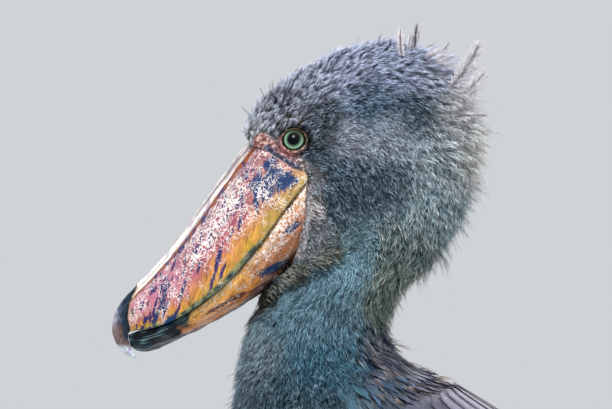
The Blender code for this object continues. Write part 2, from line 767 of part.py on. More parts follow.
def toe(word, side, toe_name):
    """One toe with its joints, and the claw that its end carries."""
    heading, aside, length, radius, joints = TOES[toe_name]
    turn = pi - side * radians(heading)
    forward = Vector((cos(turn), sin(turn), 0))
    across = Vector((-sin(turn), cos(turn), 0))
    start = Vector(((FOOT[0] + FOOT_STAGGER[word]) * MM, side * (FOOT[1] + aside) * MM, 0))
    rings = []
    for share in steps(0, 1, 1 / (3 * joints + 2)):
        size = radius * (1 - TOE_TAPER * share) * (1 + JOINT_SWELL * cos(2 * pi * joints * share))
        middle = start + forward * (TOE_START + (length - TOE_START) * share) * MM
        rings.append(toe_ring(middle, across, size))
    made = loft(f"{word}_{toe_name}_toe", rings, "leg skin")
    combine(made, [palm(word, side, GAP, cutters)], "DIFFERENCE")
    keep_largest(made)
    claw(f"{word}_{toe_name}_claw", start + forward * (length * MM + GAP), forward, across)
    return made


def claw(name, root, forward, across):
    """A claw that curves down to just above the floor."""
    rings = []
    for share in steps(0, 1, 1 / (CLAW_RINGS - 1)):
        size = CLAW_RADIUS * (1 - CLAW_TAPER * share**1.2)
        height = CLAW_HEIGHT - (CLAW_HEIGHT - CLAW_TIP_HEIGHT) * share**2
        middle = root + forward * CLAW_LENGTH * MM * share
        points = []
        for i in range(CLAW_SIDES):
            angle = 2 * pi * i / CLAW_SIDES
            up = max(height + sin(angle) * size, CLAW_CLEAR) * MM
            points.append(middle + across * cos(angle) * size * CLAW_SLIM * MM + Vector((0, 0, up)))
        rings.append(points)
    return loft(name, rings, "claw")


def set_on_floor():
    """Moves the whole bird so that the middle of its box's underside is the origin."""
    corners = [body.matrix_world @ vert.co for body in parts.objects for vert in body.data.vertices]
    low = Vector([min(point[i] for point in corners) for i in range(3)])
    high = Vector([max(point[i] for point in corners) for i in range(3)])
    shift = Matrix.Translation((-(low.x + high.x) / 2, -(low.y + high.y) / 2, -low.z))
    for body in parts.objects:
        body.data.transform(shift)


def shade(body):
    body.data.shade_smooth()
    body.data.set_sharp_from_angle(angle=SMOOTH_BELOW)


def build():
    clear_scene()
    head()
    body_length("neck", *NECK)
    body_length("torso", *TRUNK)
    upper_bill()
    lower_bill()
    tail()
    for word, side in SIDES.items():
        eye(word, side)
        wing(word, side)
        thigh(word, side)
        shank(word, side)
        for toe_name in TOES:
            toe(word, side, toe_name)
    set_on_floor()
    for body in parts.objects:
        shade(body)
    bpy.data.collections.remove(cutters)


build()
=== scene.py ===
"""The finish of a life-size standing shoebill: skin, feathers, bill, eyes, legs and a plain studio.

Every length is in millimetres unless its name says otherwise. Points of the bird are written from the
centre of the eye's opening in the mid-plane: x back, y to the right and z up.
"""

from functools import partial

import bmesh
import bpy
import numpy as np
from bpy.props import FloatProperty, FloatVectorProperty, PointerProperty
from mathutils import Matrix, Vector
from mathutils.bvhtree import BVHTree
from mathutils.geometry import tessellate_polygon


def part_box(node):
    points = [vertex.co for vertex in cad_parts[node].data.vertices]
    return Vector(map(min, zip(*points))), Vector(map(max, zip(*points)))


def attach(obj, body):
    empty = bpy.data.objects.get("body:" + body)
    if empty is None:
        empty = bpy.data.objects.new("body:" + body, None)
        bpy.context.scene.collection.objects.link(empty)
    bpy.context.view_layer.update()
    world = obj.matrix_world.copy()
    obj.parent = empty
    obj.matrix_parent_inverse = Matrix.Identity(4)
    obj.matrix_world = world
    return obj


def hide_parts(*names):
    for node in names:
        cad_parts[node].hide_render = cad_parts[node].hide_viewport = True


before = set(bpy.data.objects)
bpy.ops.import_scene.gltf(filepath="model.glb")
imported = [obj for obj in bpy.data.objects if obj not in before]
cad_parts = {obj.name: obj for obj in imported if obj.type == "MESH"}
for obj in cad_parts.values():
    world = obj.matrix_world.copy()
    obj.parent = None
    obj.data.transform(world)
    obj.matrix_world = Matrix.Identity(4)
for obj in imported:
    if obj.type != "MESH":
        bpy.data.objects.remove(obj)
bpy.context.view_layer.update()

bl_info = {
    "name": "Shoebill Finish",
    "version": (1, 0, 0),
    "blender": (4, 5, 0),
    "location": "View3D > Sidebar > Shoebill",
    "description": "Dresses the solid shoebill in skin, feathers and horn",
    "category": "Object",
}
MM = 0.001
BODY_NAME = "root"
SIDES = {"left": -1, "right": 1}
# Where the random draws of each kind of piece start.
SEEDS = {
    "coat": 20, "marks": 33, "trunk": 60, "thighs": 70, "wings": 80, "tail": 90, "crest": 100,
    "bristles": 110,
}

# The eyeball sits behind an oval rim, which faces aside, a little ahead and a little up.
EYE_RADIUS = 14
EYE_DEPTH = 10.2
LID_SIDE = 46.6
EYE_FORWARD = np.radians(8)
EYE_UPWARD = np.radians(15)

# Each row is one section across the bird, by the two points of its outline in the mid-plane, ahead
# or below and behind or above: x and z of one, x and z of the other, then the half width.
BODY = {
    "forehead": (-47.6, -78.7, -40.2, 3.3, 24),
    "brow": (-44.3, -100, -32.8, 26.2, 36),
    "crown front": (-39.4, -114.8, -7.4, 49.2, 44),
    "crown": (-34.4, -123, 41.8, 73.8, 50),
    "crown back": (-30.3, -128.7, 88.6, 79.5, 54.5),
    "nape top": (-28.7, -133.7, 129.6, 55.8, 57.5),
    "nape": (-27.9, -136.9, 148.4, 4.1, 59.5),
    "nape low": (-28.7, -140.2, 142.7, -49.2, 59),
    "hind neck": (-31.2, -143.5, 119.7, -91.8, 56),
    "neck top": (-35.3, -149.2, 90.2, -121.4, 52),
    "neck": (-39, -159, 77, -146, 49),
    "neck low": (-46, -188, 79, -166, 52),
    "neck base": (-49.5, -215, 88, -179, 58),
    "collar": (-54, -250, 103, -191, 69),
    "shoulder": (-60, -295, 129, -208, 86),
    "upper breast": (-61, -345, 163, -229, 103),
    "breast": (-46, -395, 201, -255, 115),
    "keel": (-10, -440, 244, -290, 121),
    "belly": (40, -480, 283, -332, 119),
    "flank": (100, -510, 316, -383, 108),
    "vent": (165, -530, 343, -433, 89),
    "rump": (228, -545, 365, -478, 66),
    "tail root": (285, -552, 386, -515, 44),
    "tail mid": (365, -610, 440, -575, 44),
    "tail end": (455, -705, 500, -670, 50),
}
NECK_END = 12.6
TRUNK_END = 22.0
FULLNESS = 0.82
TINY = 0.02

# The tail's fleshy root: place along the body, and its size as a share of the section there.
TAIL_ROOT = ((22.3, 0.92), (22.6, 0.8), (22.9, 0.55), (23.1, 0.3))

# How far the skin lies under the tips of the coat, by place along the body.
COAT_DEPTH = ((0, 3.2), (5, 4.5), (9, 4.5), (12, 6), (14, 9), (20, 9), (22, 7))

# Where feathered head and bare bill meet, seen from the side, forehead to chin.
BILL_EDGE = (
    (-70, 24.2), (-39.4, -1.6), (-32, -4.9), (-24.6, -7), (-18, -14.3), (-10.8, -20), (-2.5, -25.3),
    (2.8, -28.9), (11.5, -30.3), (9.8, -42.6), (9, -64.8), (5.7, -85.3), (-0.8, -103), (-15.6, -117),
    (-32.2, -131.5), (-52, -146), (-80, -162), (-105, -180), (-125, -200),
)

# The culmen is the bill's top line and the tomium its mouth line: x and z of each, then the half width.
UPPER_BILL = {
    "inside": (-26, 15.6, 19.7, -23, 57),
    "base": (-39.4, -1.6, 7.4, -37.7, 57),
    "nostril": (-54.1, -21.3, -9, -58.2, 57),
    "rear third": (-73, -47.6, -26.2, -82.8, 55.5),
    "middle": (-93.5, -76.3, -47.6, -108.2, 52.5),
    "front third": (-114, -101.7, -70.5, -129.6, 46.5),
    "taper": (-130.4, -119.7, -96.8, -146.8, 38),
    "nail root": (-141.9, -132, -118.9, -155, 27.5),
    "nail": (-149.2, -145.1, -133.7, -157.4, 16.5),
    "nail front": (-150.9, -158.3, -138, -160.7, 10.5),
    "hook": (-146.8, -169.7, -137.2, -166.5, 7),
    "hook end": (-138.6, -178, -134.4, -174, 4),
    "hook tip": (-126.3, -183.7, -127.5, -182.6, 0.8),
}
# The mouth line and the keel line of the lower bill, then the half width.
LOWER_BILL = {
    "inside": (21.3, -19.7, 14.8, -100, 55),
    "base": (7.4, -38.5, -1.5, -105.5, 56),
    "rear": (-9, -59, -17, -118.6, 55),
    "rear third": (-26.2, -83.6, -34.4, -131.2, 52.5),
    "middle": (-47.6, -109, -54.1, -143.5, 48),
    "front third": (-70.5, -130.4, -77.1, -155.8, 39.5),
    "taper": (-96.8, -147.6, -101.7, -167.3, 30),
    "front": (-118.9, -155.8, -120.5, -174.7, 19.5),
    "chin": (-129.6, -158.2, -129.4, -174.6, 12),
    "tip": (-137.6, -161.2, -135.2, -171, 6),
}
# Half outlines as shares of half width and height. The upper one ends in the groove and the raised ridge.
UPPER_OUTLINE = (
    (1.0, 0.0), (1.0, 0.16), (0.965, 0.33), (0.89, 0.5), (0.77, 0.65), (0.61, 0.77),
    (0.42, 0.855), (0.27, 0.895), (0.205, 0.885), (0.175, 0.94), (0.1, 0.985), (0.0, 1.0),
)
LOWER_OUTLINE = (
    (0.95, 0.0), (1.0, 0.1), (0.98, 0.3), (0.88, 0.55), (0.68, 0.78), (0.36, 0.94), (0.0, 1.0),
)


def linear(text):
    """The linear colour of an sRGB hex value."""
    parts = [int(text[i : i + 2], 16) / 255 for i in (0, 2, 4)]
    return np.array([c / 12.92 if c <= 0.04045 else ((c + 0.055) / 1.055) ** 2.4 for c in parts])


def eye_out(side):
    """The way out of the head through the middle of one eye."""
    level = np.cos(EYE_UPWARD)
    return np.array([-np.sin(EYE_FORWARD) * level, side * np.cos(EYE_FORWARD) * level, np.sin(EYE_UPWARD)])


def eye_origin():
    """The point in metres that all sizes are written from, worked out from the eyeball's own box."""
    low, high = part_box("left_eye")
    opening = np.array((low + high) / 2) + eye_out(SIDES["left"]) * EYE_DEPTH * MM
    return opening * (1, 0, 1)


EYE = eye_origin()


def alike(*values):
    """Values as arrays of numbers that have one shape."""
    return np.broadcast_arrays(*(np.asarray(value, float) for value in values))


def at_eye(x, y, z):
    """Points in metres from millimetres back, to the right and up from the eye."""
    return np.stack(alike(x, y, z), axis=-1) * MM + EYE


def from_eye(points):
    """Millimetres back, to the right and up from the eye of points in metres."""
    return (points - EYE) / MM


def unit(vectors):
    """Directions of length 1."""
    return vectors / np.maximum(np.linalg.norm(vectors, axis=-1, keepdims=True), 1e-12)


def mix(first, second, share):
    """What lies between two values, at a share of the way."""
    return first + (second - first) * share


def ease(low, high, value):
    """A smooth rise from 0 at low to 1 at high."""
    share = np.clip((value - low) / (high - low), 0, 1)
    return share * share * (3 - 2 * share)


def along_table(pairs, place):
    """The value at a place, from pairs of place and value."""
    return np.interp(place, *np.array(pairs, float).T)


def read_line(rows, place, known=None):
    """Rows of values read at shares of the way along them, or by the known place of each."""
    known = np.linspace(0, 1, len(rows)) if known is None else known
    return np.stack([np.interp(place, known, column) for column in np.array(rows, float).T], axis=-1)


def length_along(line):
    """How far along a line each of its points lies."""
    return np.concatenate([[0], np.cumsum(np.linalg.norm(np.diff(line, axis=0), axis=1))])


def full_turn(count):
    """Evenly spread angles of one whole turn."""
    return np.arange(count) * 2 * np.pi / count


def shade_between(stops, place):
    """Linear colours between stops, which hold a place and an sRGB hex value each."""
    places, shades = zip(*stops)
    return read_line([linear(shade) for shade in shades], place, places)


def tint(colour, other, share):
    """A colour turned towards another, which may be an sRGB hex value, by a share for each point."""
    return mix(colour, linear(other) if isinstance(other, str) else other, share[..., None])


def smooth_rows(table, place):
    """Rows between the rows of a table, along a curve that runs through all of them."""
    rows = np.array(list(table.values()) if isinstance(table, dict) else table, float)
    place = np.asarray(place, float)
    last = len(rows) - 1
    start = np.clip(place.astype(int), 0, last - 1)
    share = (place - start)[..., None]
    near = [rows[np.clip(start + step, 0, last)] for step in (-1, 0, 1, 2)]
    weights = (
        (-share + 2 * share**2 - share**3) / 2,
        (2 - 5 * share**2 + 3 * share**3) / 2,
        (share + 4 * share**2 - 3 * share**3) / 2,
        (-(share**2) + share**3) / 2,
    )
    return sum(weight * row for weight, row in zip(weights, near))


WAVE_COUNT = 7


def waves(points, size, seed):
    """A smooth random field between about -1 and 1 over points in millimetres, with bumps of one size."""
    draw = np.random.default_rng(seed)
    total = np.zeros(points.shape[:-1])
    for _ in range(WAVE_COUNT):
        heading = unit(draw.normal(size=3))
        length = size * draw.uniform(0.7, 1.5)
        total += np.sin(points @ heading * 2 * np.pi / length + draw.uniform(0, 6.3))
    return total * 2 / WAVE_COUNT


def body_base(place, angle):
    """The body's plain surface at a place along it and an angle down from the back, right positive."""
    rows = smooth_rows(BODY, place)
    low = at_eye(rows[..., 0], 0, rows[..., 1])
    high = at_eye(rows[..., 2], 0, rows[..., 3])
    middle = (low + high) / 2
    sideways = rows[..., 4] * MM * np.sign(np.sin(angle)) * np.abs(np.sin(angle)) ** FULLNESS
    across = np.stack([np.zeros_like(sideways), sideways, np.zeros_like(sideways)], axis=-1)
    return middle + (high - middle) * np.cos(angle)[..., None] + across


# Lines of relief on the head, seen from the side.
BROW_LINE = ((-34, 6), (-22, 13), (-8, 16.5), (6, 16), (18, 10), (24, 2))
JAW_LINE = ((-44, -136), (-26, -128), (2, -113), (28, -100), (48, -90), (66, -84))
# Rise and reach across the brow line, and those of the folds over and under the jaw line after their gap.
BROW_RIDGE = (2.6, 5.5)
JAW_FOLDS = ((6, 2.2, 7), (-4, -3.4, 6))
# The hollow round the eye: depth, middle and reach back and up.
EYE_HOLLOW = (2.2, (-2, -3), (17, 13))
LUMP_RISE, LUMP_SIZE = 0.8, 34


def feather_edge(z):
    """How far back the bill meets the feathers, by height."""
    back, height = np.array(BILL_EDGE[::-1], float).T
    return np.interp(z, height, back)


def swelling(gap, rise, reach):
    """The height of a rounded fold at a gap from its middle, or the depth of a groove if rise is below 0."""
    return rise * np.exp(-((gap / reach) ** 2))


def line_gap(x, z, line):
    """The signed gap from points to a line of points, positive above it."""
    line = np.array(line, float)
    best = np.full(np.shape(x), 1e9)
    sign = np.ones(np.shape(x))
    for (x0, z0), (x1, z1) in zip(line, line[1:]):
        dx, dz = x1 - x0, z1 - z0
        share = np.clip(((x - x0) * dx + (z - z0) * dz) / (dx * dx + dz * dz), 0, 1)
        gap_x, gap_z = x - x0 - dx * share, z - z0 - dz * share
        gap = np.hypot(gap_x, gap_z)
        nearer = gap < best
        best = np.where(nearer, gap, best)
        sign = np.where(nearer, np.where(dx * gap_z - dz * gap_x >= 0, 1, -1), sign)
    return best * sign


def relief(place, angle):
    """How far brow, jaw fringe and lores stand off the plain surface of the head, in millimetres."""
    place, angle = alike(place, angle)
    spot = from_eye(body_base(place, angle))
    x, z = spot[..., 0], spot[..., 2]
    brow = swelling(line_gap(x, z, BROW_LINE), *BROW_RIDGE)
    depth, centre, reach = EYE_HOLLOW
    hollow = -depth * np.exp(-(((x - centre[0]) / reach[0]) ** 2 + ((z - centre[1]) / reach[1]) ** 2))
    jaw = line_gap(x, z, JAW_LINE)
    fold = sum(swelling(jaw - gap, *shape) for gap, *shape in JAW_FOLDS) * (1 - ease(30, 72, x))
    lumps = LUMP_RISE * waves(spot, LUMP_SIZE, 5) * ease(10, 30, np.hypot(x, z))
    on_head = 1 - ease(11, 13, place)
    sideways = ease(0.2, 0.6, np.abs(np.sin(angle)))
    return ((brow + hollow + fold) * sideways + lumps) * on_head


def out_of(surface, place, angle):
    """Directions along, round and out of a surface, by small steps on it."""
    along = surface(place + TINY, angle) - surface(place - TINY, angle)
    around = surface(place, angle + TINY) - surface(place, angle - TINY)
    return along / (2 * TINY), around / (2 * TINY), unit(np.cross(along, around))


def body_surface(place, angle, lift=0.0):
    """The outline of the coat over head, neck and trunk, moved out by lift in millimetres."""
    place, angle, lift = alike(place, angle, lift)
    normal = out_of(body_base, place, angle)[2]
    return body_base(place, angle) + normal * ((lift + relief(place, angle)) * MM)[..., None]


def eye_axes(side):
    """The middle of one eye's opening in metres, and the ways back, up and out of the head."""
    out = eye_out(side)
    up = unit(np.array([0, 0, 1]) - out * out[2])
    return at_eye(0, side * LID_SIDE, 0), -side * np.cross(up, out), up, out


def label_points(mesh, **labels):
    """Writes a number or a colour for each point of a mesh."""
    for label, values in labels.items():
        values = np.asarray(values, np.float32)
        kind, field = ("FLOAT", "value") if values.ndim == 1 else ("FLOAT_COLOR", "color")
        if values.ndim > 1:
            values = np.concatenate([values, np.ones((len(values), 1), np.float32)], axis=1)
        mesh.attributes.new(label, kind, "POINT").data.foreach_set(field, values.ravel())


def make_mesh(name, points, quads, tris=(), patches=None, labels=None):
    """A mesh object from arrays. patches are the places on the coat's map, one for each point, and labels
    hold a number or a colour for each point."""
    quads = np.asarray(quads, np.int32).reshape(-1, 4)
    tris = np.asarray(tris, np.int32).reshape(-1, 3)
    corners = np.concatenate([quads.ravel(), tris.ravel()])
    starts = np.concatenate([np.arange(len(quads)) * 4, len(quads) * 4 + np.arange(len(tris)) * 3])
    mesh = bpy.data.meshes.new(name)
    mesh.vertices.add(len(points))
    mesh.vertices.foreach_set("co", np.asarray(points, np.float32).ravel())
    mesh.loops.add(len(corners))
    mesh.loops.foreach_set("vertex_index", corners.astype(np.int32))
    mesh.polygons.add(len(starts))
    mesh.polygons.foreach_set("loop_start", starts.astype(np.int32))
    mesh.polygons.foreach_set("use_smooth", np.full(len(starts), True))
    mesh.update(calc_edges=True)
    if patches is not None:
        layer = mesh.uv_layers.new(name="OFBake")
        layer.data.foreach_set("uv", np.asarray(patches, np.float32)[corners].ravel())
    label_points(mesh, **(labels or {}))
    made = bpy.data.objects.new(name, mesh)
    bpy.context.collection.objects.link(made)
    return made


def grid_faces(rows, columns):
    """Quads between the rows of a grid of points, closed round the columns."""
    row, column = np.meshgrid(np.arange(rows - 1), np.arange(columns), indexing="ij")
    low, high = row * columns, (row + 1) * columns
    after = (column + 1) % columns
    return np.stack([low + column, low + after, high + after, high + column], axis=-1).reshape(-1, 4)


def closed_loft(rings):
    """Points, quads and end fans of a closed form through rings of like point counts."""
    rings = np.asarray(rings, float)
    rows, columns = rings.shape[:2]
    points = np.concatenate([rings.reshape(-1, 3), rings[0].mean(0)[None], rings[-1].mean(0)[None]])
    ring = np.arange(columns)
    after = (ring + 1) % columns
    first = np.stack([np.full(columns, rows * columns), after, ring], axis=-1)
    top = (rows - 1) * columns
    last = np.stack([np.full(columns, rows * columns + 1), top + ring, top + after], axis=-1)
    return points, grid_faces(rows, columns), np.concatenate([first, last])


def face_out(piece):
    """Turns every face of a closed piece outward."""
    shape = bmesh.new()
    shape.from_mesh(piece.data)
    bmesh.ops.recalc_face_normals(shape, faces=shape.faces[:])
    shape.to_mesh(piece.data)
    shape.free()
    return piece


def loft_piece(name, rings, **labels):
    """A closed form through rings of points in metres. labels hold a number or a colour for each point."""
    rings = np.asarray(rings, float)
    for key, values in labels.items():
        flat = values.reshape(rings.shape[0] * rings.shape[1], -1)
        labels[key] = np.concatenate([flat, flat[:1], flat[-1:]]).squeeze()
    return face_out(make_mesh(name, *closed_loft(rings), labels=labels))


def vertex_values(mesh, field):
    """The places or the normals of a mesh's points, as rows of three."""
    values = np.empty(len(mesh.vertices) * 3, np.float32)
    mesh.vertices.foreach_get(field, values)
    return values.reshape(-1, 3).astype(float)


def finish_piece(piece, finish, replaced=()):
    """Gives a piece its material, and ties it to the frame."""
    piece.data.materials.clear()
    piece.data.materials.append(finish_named(finish))
    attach(piece, BODY_NAME)
    if replaced:
        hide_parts(*replaced)


# What makes a mix node mix two colours, which it takes as its sockets 6 and 7.
RGBA = {"data_type": "RGBA", "output": 2}


def add_node(tree, kind, *feeds, named=None, stops=(), output=0, **settings):
    """Adds a node with its settings, feeds its sockets in their order or by name, and returns one of its
    outputs. Sockets are linked, and numbers and hex colours are set. stops are a colour ramp's places and
    colours."""
    made = tree.nodes.new("ShaderNode" + kind)
    for name, value in settings.items():
        setattr(made, name, value)
    for socket, value in [*enumerate(feeds), *(named or {}).items()]:
        if isinstance(value, bpy.types.NodeSocket):
            tree.links.new(value, made.inputs[socket])
        elif value is not None:
            made.inputs[socket].default_value = (*linear(value), 1) if isinstance(value, str) else value
    for number, (place, shade) in enumerate(stops):
        ramp = made.color_ramp.elements
        stop = ramp[number] if number < 2 else ramp.new(place)
        stop.position = place
        stop.color = (*(linear(shade) if isinstance(shade, str) else shade), 1)
    return None if output is None else made.outputs[output]


def finish_named(name):
    """The material of that name, made the first time that a piece needs it. Its function adds nodes and
    returns what feeds the surface shader."""
    made = bpy.data.materials.get(name)
    if made:
        return made
    made = bpy.data.materials.new(name)
    made.use_nodes = True
    made.node_tree.nodes.clear()
    add = partial(add_node, made.node_tree)
    surface = FINISHES[name](add, add("TexCoord", output=3))
    add("OutputMaterial", add("BsdfPrincipled", named=surface), output=None)
    return made


# Kinds of coat: length and half width of a tuft, how much it stands up, tufts for 100 mm2, how far its
# strands gather, how uneven its tones are, how much its tips pale, and their colour. The pale tips are partly
# the barbs' own pale ends and partly painted highlight.
COAT_KINDS = {
    "scaly": (8.5, 2.0, 1.9, 8.5, 0.75, 1.45, 0.5, "d2d8ea"),
    "plume": (9.5, 2.2, 2.0, 8.5, 0.55, 1.35, 0.5, "ccd4f0"),
    "silk": (6.5, 2.0, 1.2, 12.0, 0.12, 1.1, 0.25, "a5b8ca"),
    "down": (9, 2.2, 1.8, 10.0, 0.1, 0.6, 0.45, "e8e6e2"),
    "fringe": (8, 1.6, 1.4, 12, 0.3, 0.7, 0.5, "565548"),
    "flow": (8.5, 2.0, 1.1, 11.5, 0.1, 0.55, 0.25, "9db4c2"),
    "hackle": (22, 2.6, 1.4, 5.0, 0.7, 0.8, 0.4, "b09c8c"),
}
# Zones of the plumage, each round a point seen from the side: x, z, reach, colour and kind of coat.
ZONES = {
    "frontal tuft": (-36, 2, 7, "d8dce2", "scaly"),
    "forehead": (-30, 18, 9, "b4bac4", "scaly"),
    "brow": (-9, 27, 12, "2c384c", "scaly"),
    "crown front": (5, 46, 14, "b6bcd6", "scaly"),
    "crown": (42, 58, 18, "b8bfdc", "plume"),
    "crown back": (84, 64, 18, "b0bfe2", "plume"),
    "occiput": (108, 52, 12, "c8cfe2", "plume"),
    "eye stripe": (21, 19, 11, "101c28", "silk"),
    "behind eye": (23, 4, 9, "10202a", "silk"),
    "temple": (58, 33, 15, "2f5e7e", "silk"),
    "nape band": (99, 29, 16, "2a4c62", "silk"),
    "ear": (42, 3, 11, "c2c6d6", "silk"),
    "ear back": (76, 4, 14, "c0ccda", "silk"),
    "nape side": (117, -12, 17, "b2cad8", "down"),
    "nape top": (128, 26, 13, "d4d8e2", "down"),
    "nape": (146, -8, 14, "dcdedc", "down"),
    "gape": (17, -33, 7, "a49ea2", "silk"),
    "gape edge": (13, -53, 6, "d8cfd0", "down"),
    "cheek": (38, -34, 16, "2c5266", "silk"),
    "cheek back": (78, -37, 16, "224a5a", "silk"),
    "lower cheek": (42, -61, 13, "204652", "silk"),
    "cheek rear": (100, -57, 17, "8aaebb", "down"),
    "jaw": (20, -78, 12, "9c9ea2", "silk"),
    "jaw back": (52, -75, 12, "7aa6b0", "silk"),
    "hind cheek": (92, -82, 16, "426a6c", "down"),
    "fringe back": (30, -93, 6, "3a5a5c", "fringe"),
    "fringe": (0, -112, 7, "656258", "fringe"),
    "fringe front": (-26, -130, 7, "453c2c", "fringe"),
    "neck top": (50, -106, 12, "92bed0", "flow"),
    "neck side": (13, -140, 20, "769fb2", "flow"),
    "hind neck": (84, -118, 16, "5e7c70", "down"),
    "neck front": (-30, -172, 12, "8ba1ac", "flow"),
    "neck": (21, -180, 18, "3b7c96", "flow"),
    "neck base": (5, -214, 20, "2f586a", "flow"),
    "neck back": (74, -176, 12, "2e4e6e", "hackle"),
    "mantle": (120, -212, 24, "716a7c", "hackle"),
    "shoulder": (85, -250, 30, "3c4a5c", "hackle"),
    "back": (250, -380, 110, "4f5c6a", "flow"),
    "breast": (-40, -330, 80, "5c7280", "flow"),
    "belly": (120, -520, 120, "7d8c96", "flow"),
}
ZONE_COLOURS = np.array([linear(row[3]) for row in ZONES.values()])
ZONE_KINDS = np.array([COAT_KINDS[row[4]][:7] for row in ZONES.values()], float)
ZONE_TIPS = np.array([linear(COAT_KINDS[row[4]][7]) for row in ZONES.values()])


# What a zone still counts far from it, where no other is near.
FAR_SHARE = 1e-4


def zone_weights(points):
    """How much each zone counts at points of the body, as shares that add up to one."""
    spot = from_eye(points)
    shares = []
    for x, z, reach, *_ in ZONES.values():
        gap = ((spot[..., 0] - x) ** 2 + (spot[..., 2] - z) ** 2) / reach**2
        shares.append(np.exp(-gap) + FAR_SHARE / (1 + gap))
    shares = np.stack(shares, axis=-1)
    return shares / shares.sum(-1, keepdims=True)


def zone_colour(points):
    """The plumage's colour at points of the body."""
    return zone_weights(points) @ ZONE_COLOURS


# The bare skin between eye and bill, as a line with its reach, then the oval of it round the eye, and the
# dark band along the bill.
LORE_LINE = ((-27, -2), (-18, -8), (-9, -14), (1, -19.5), (8, -25))
LORE_REACH = 7.0
EYE_OVAL = (-1.2, -1.6, 11.6, 10.9)
DARK_BAND = ((-22.4, -7), (-16, -12.5), (-10.7, -16.4), (-4, -20), (2, -23))
DARK_BAND_REACH = 5.8


def bareness(points):
    """1 on the bare skin of lores and eye, 0 under feathers."""
    spot = from_eye(points)
    x, z = spot[..., 0], spot[..., 2]
    lore = 1 - ease(LORE_REACH, LORE_REACH + 2, np.abs(line_gap(x, z, LORE_LINE)))
    middle_x, middle_z, reach_x, reach_z = EYE_OVAL
    ring = 1 - ease(1, 1.12, np.hypot((x - middle_x) / reach_x, (z - middle_z) / reach_z))
    on_side = ease(26, 34, np.abs(spot[..., 1]))
    return np.maximum(lore, ring) * on_side


THIGH_TOP = (150, 58, -455)
THIGH_END = (156, 66, -722)
THIGH = (
    (0, 38, 20), (0.1, 60, 32), (0.24, 67, 38), (0.42, 58, 36), (0.6, 43, 30), (0.78, 30, 24),
    (0.92, 21, 19), (1, 16, 15),
)


def thigh_surface(side, share, angle, lift=0.0):
    """The surface of one feathered thigh, by its share of the way down and the angle round it."""
    share, angle, lift = alike(share, angle, lift)
    rows = smooth_rows(THIGH, np.interp(share, [row[0] for row in THIGH], range(len(THIGH))))
    x, y, z = (mix(top, end, share) for top, end in zip(THIGH_TOP, THIGH_END))
    x = x + (rows[..., 1] + lift) * np.cos(angle)
    return at_eye(x, side * (y + (rows[..., 2] + lift) * np.sin(angle)), z)


def join(body, others, operation="UNION"):
    """Joins or cuts body with closed mesh objects, which are then removed."""
    for other in others:
        change = body.modifiers.new("change", "BOOLEAN")
        change.operation = operation
        change.object = other
        change.solver = "MANIFOLD"
    bpy.context.view_layer.update()
    graph = bpy.context.evaluated_depsgraph_get()
    body.data = bpy.data.meshes.new_from_object(body.evaluated_get(graph))
    body.modifiers.clear()
    for other in others:
        bpy.data.objects.remove(other)


# How far ahead the space of the bill is cut out, and how far to each side.
BLOCK_FRONT, BLOCK_HALF = -260, 90


def bill_block(shift):
    """The space ahead of the feather edge, which parts bill from head."""
    edge = [(x - shift, z) for x, z in BILL_EDGE]
    outline = edge + [(BLOCK_FRONT, edge[-1][1]), (BLOCK_FRONT, edge[0][1])]
    rings = np.array([[at_eye(x, y, z) for x, z in outline] for y in (-BLOCK_HALF, BLOCK_HALF)])
    columns = len(outline)
    ends = np.array(tessellate_polygon([[Vector(point) for point in rings[0]]]), np.int32)
    tris = np.concatenate([ends, ends[:, ::-1] + columns])
    return face_out(make_mesh("bill block", rings.reshape(-1, 3), grid_faces(2, columns), tris))


# Stretches of the skin: first and last place along the body, and the step from ring to ring.
SKIN_SPANS = ((0, 4.6, 0.04), (4.6, NECK_END, 0.1), (NECK_END, TRUNK_END + 0.01, 0.2))
SKIN_SIDES = 216
# The sides of the head are meshed finer between these angles, for the lores.
SKIN_FINE = (75, 145)
SKIN_UNDER_BILL = 1.2
# How far it lies under the outline of tail and thighs.
SKIN_DEPTH = 4
# Bare skin from the lores to behind the eye.
FLESH = ((-24, "905c54"), (-8, "84545a"), (0, "785a60"), (5, "5e544e"), (12, "464850"))
# The sockets of the eyes: depth, reach to each side of the lids, and where their walls start and end.
EYE_PIT, PIT_REACH, PIT_WALL = 15, 20, (8.5, 11.5)


def skin_points(place, angle):
    """The skin under the coat, sunk round the eyeballs."""
    outline = body_surface(place, angle)
    depth = mix(along_table(COAT_DEPTH, place), 0.6, bareness(outline))
    points = body_surface(place, angle, -depth)
    for side in SIDES.values():
        middle, back, up, out = eye_axes(side)
        gap = (points - middle) / MM
        across = np.hypot(gap @ back / 1.1, gap @ up)
        near = (np.abs(gap @ out) < PIT_REACH) * (1 - ease(*PIT_WALL, across))
        points = points - out * (near * EYE_PIT * MM)[..., None]
    return points


def skin_angles():
    """Angles down from the back for the skin's points, denser over the sides of the head."""
    degrees = np.arange(0, 360, 0.5)
    aside = np.minimum(degrees, 360 - degrees)
    crowd = np.cumsum(1.0 + ((aside > SKIN_FINE[0]) & (aside < SKIN_FINE[1])))
    return np.radians(np.interp(np.arange(SKIN_SIDES) * crowd[-1] / SKIN_SIDES, crowd, degrees))


def label_skin(skin):
    """Keeps at each point of the skin its colours under feathers and where it is bare."""
    points = vertex_values(skin.data, "co")
    spot = from_eye(points)
    band = 1 - ease(0, DARK_BAND_REACH, np.abs(line_gap(spot[:, 0], spot[:, 2], DARK_BAND)))
    band = band + 0.15 * waves(spot, 4, 7) * band
    flesh = shade_between(FLESH, spot[:, 0] + 3 * waves(spot, 9, 6))
    flesh = tint(flesh, "6c5a70", 0.7 * band)
    # Under the feathers the skin takes the plumage colour at half strength: painted shade deep in the coat.
    label_points(skin.data, hue=zone_colour(points) * 0.5, flesh=flesh, bare=bareness(points), band=band)


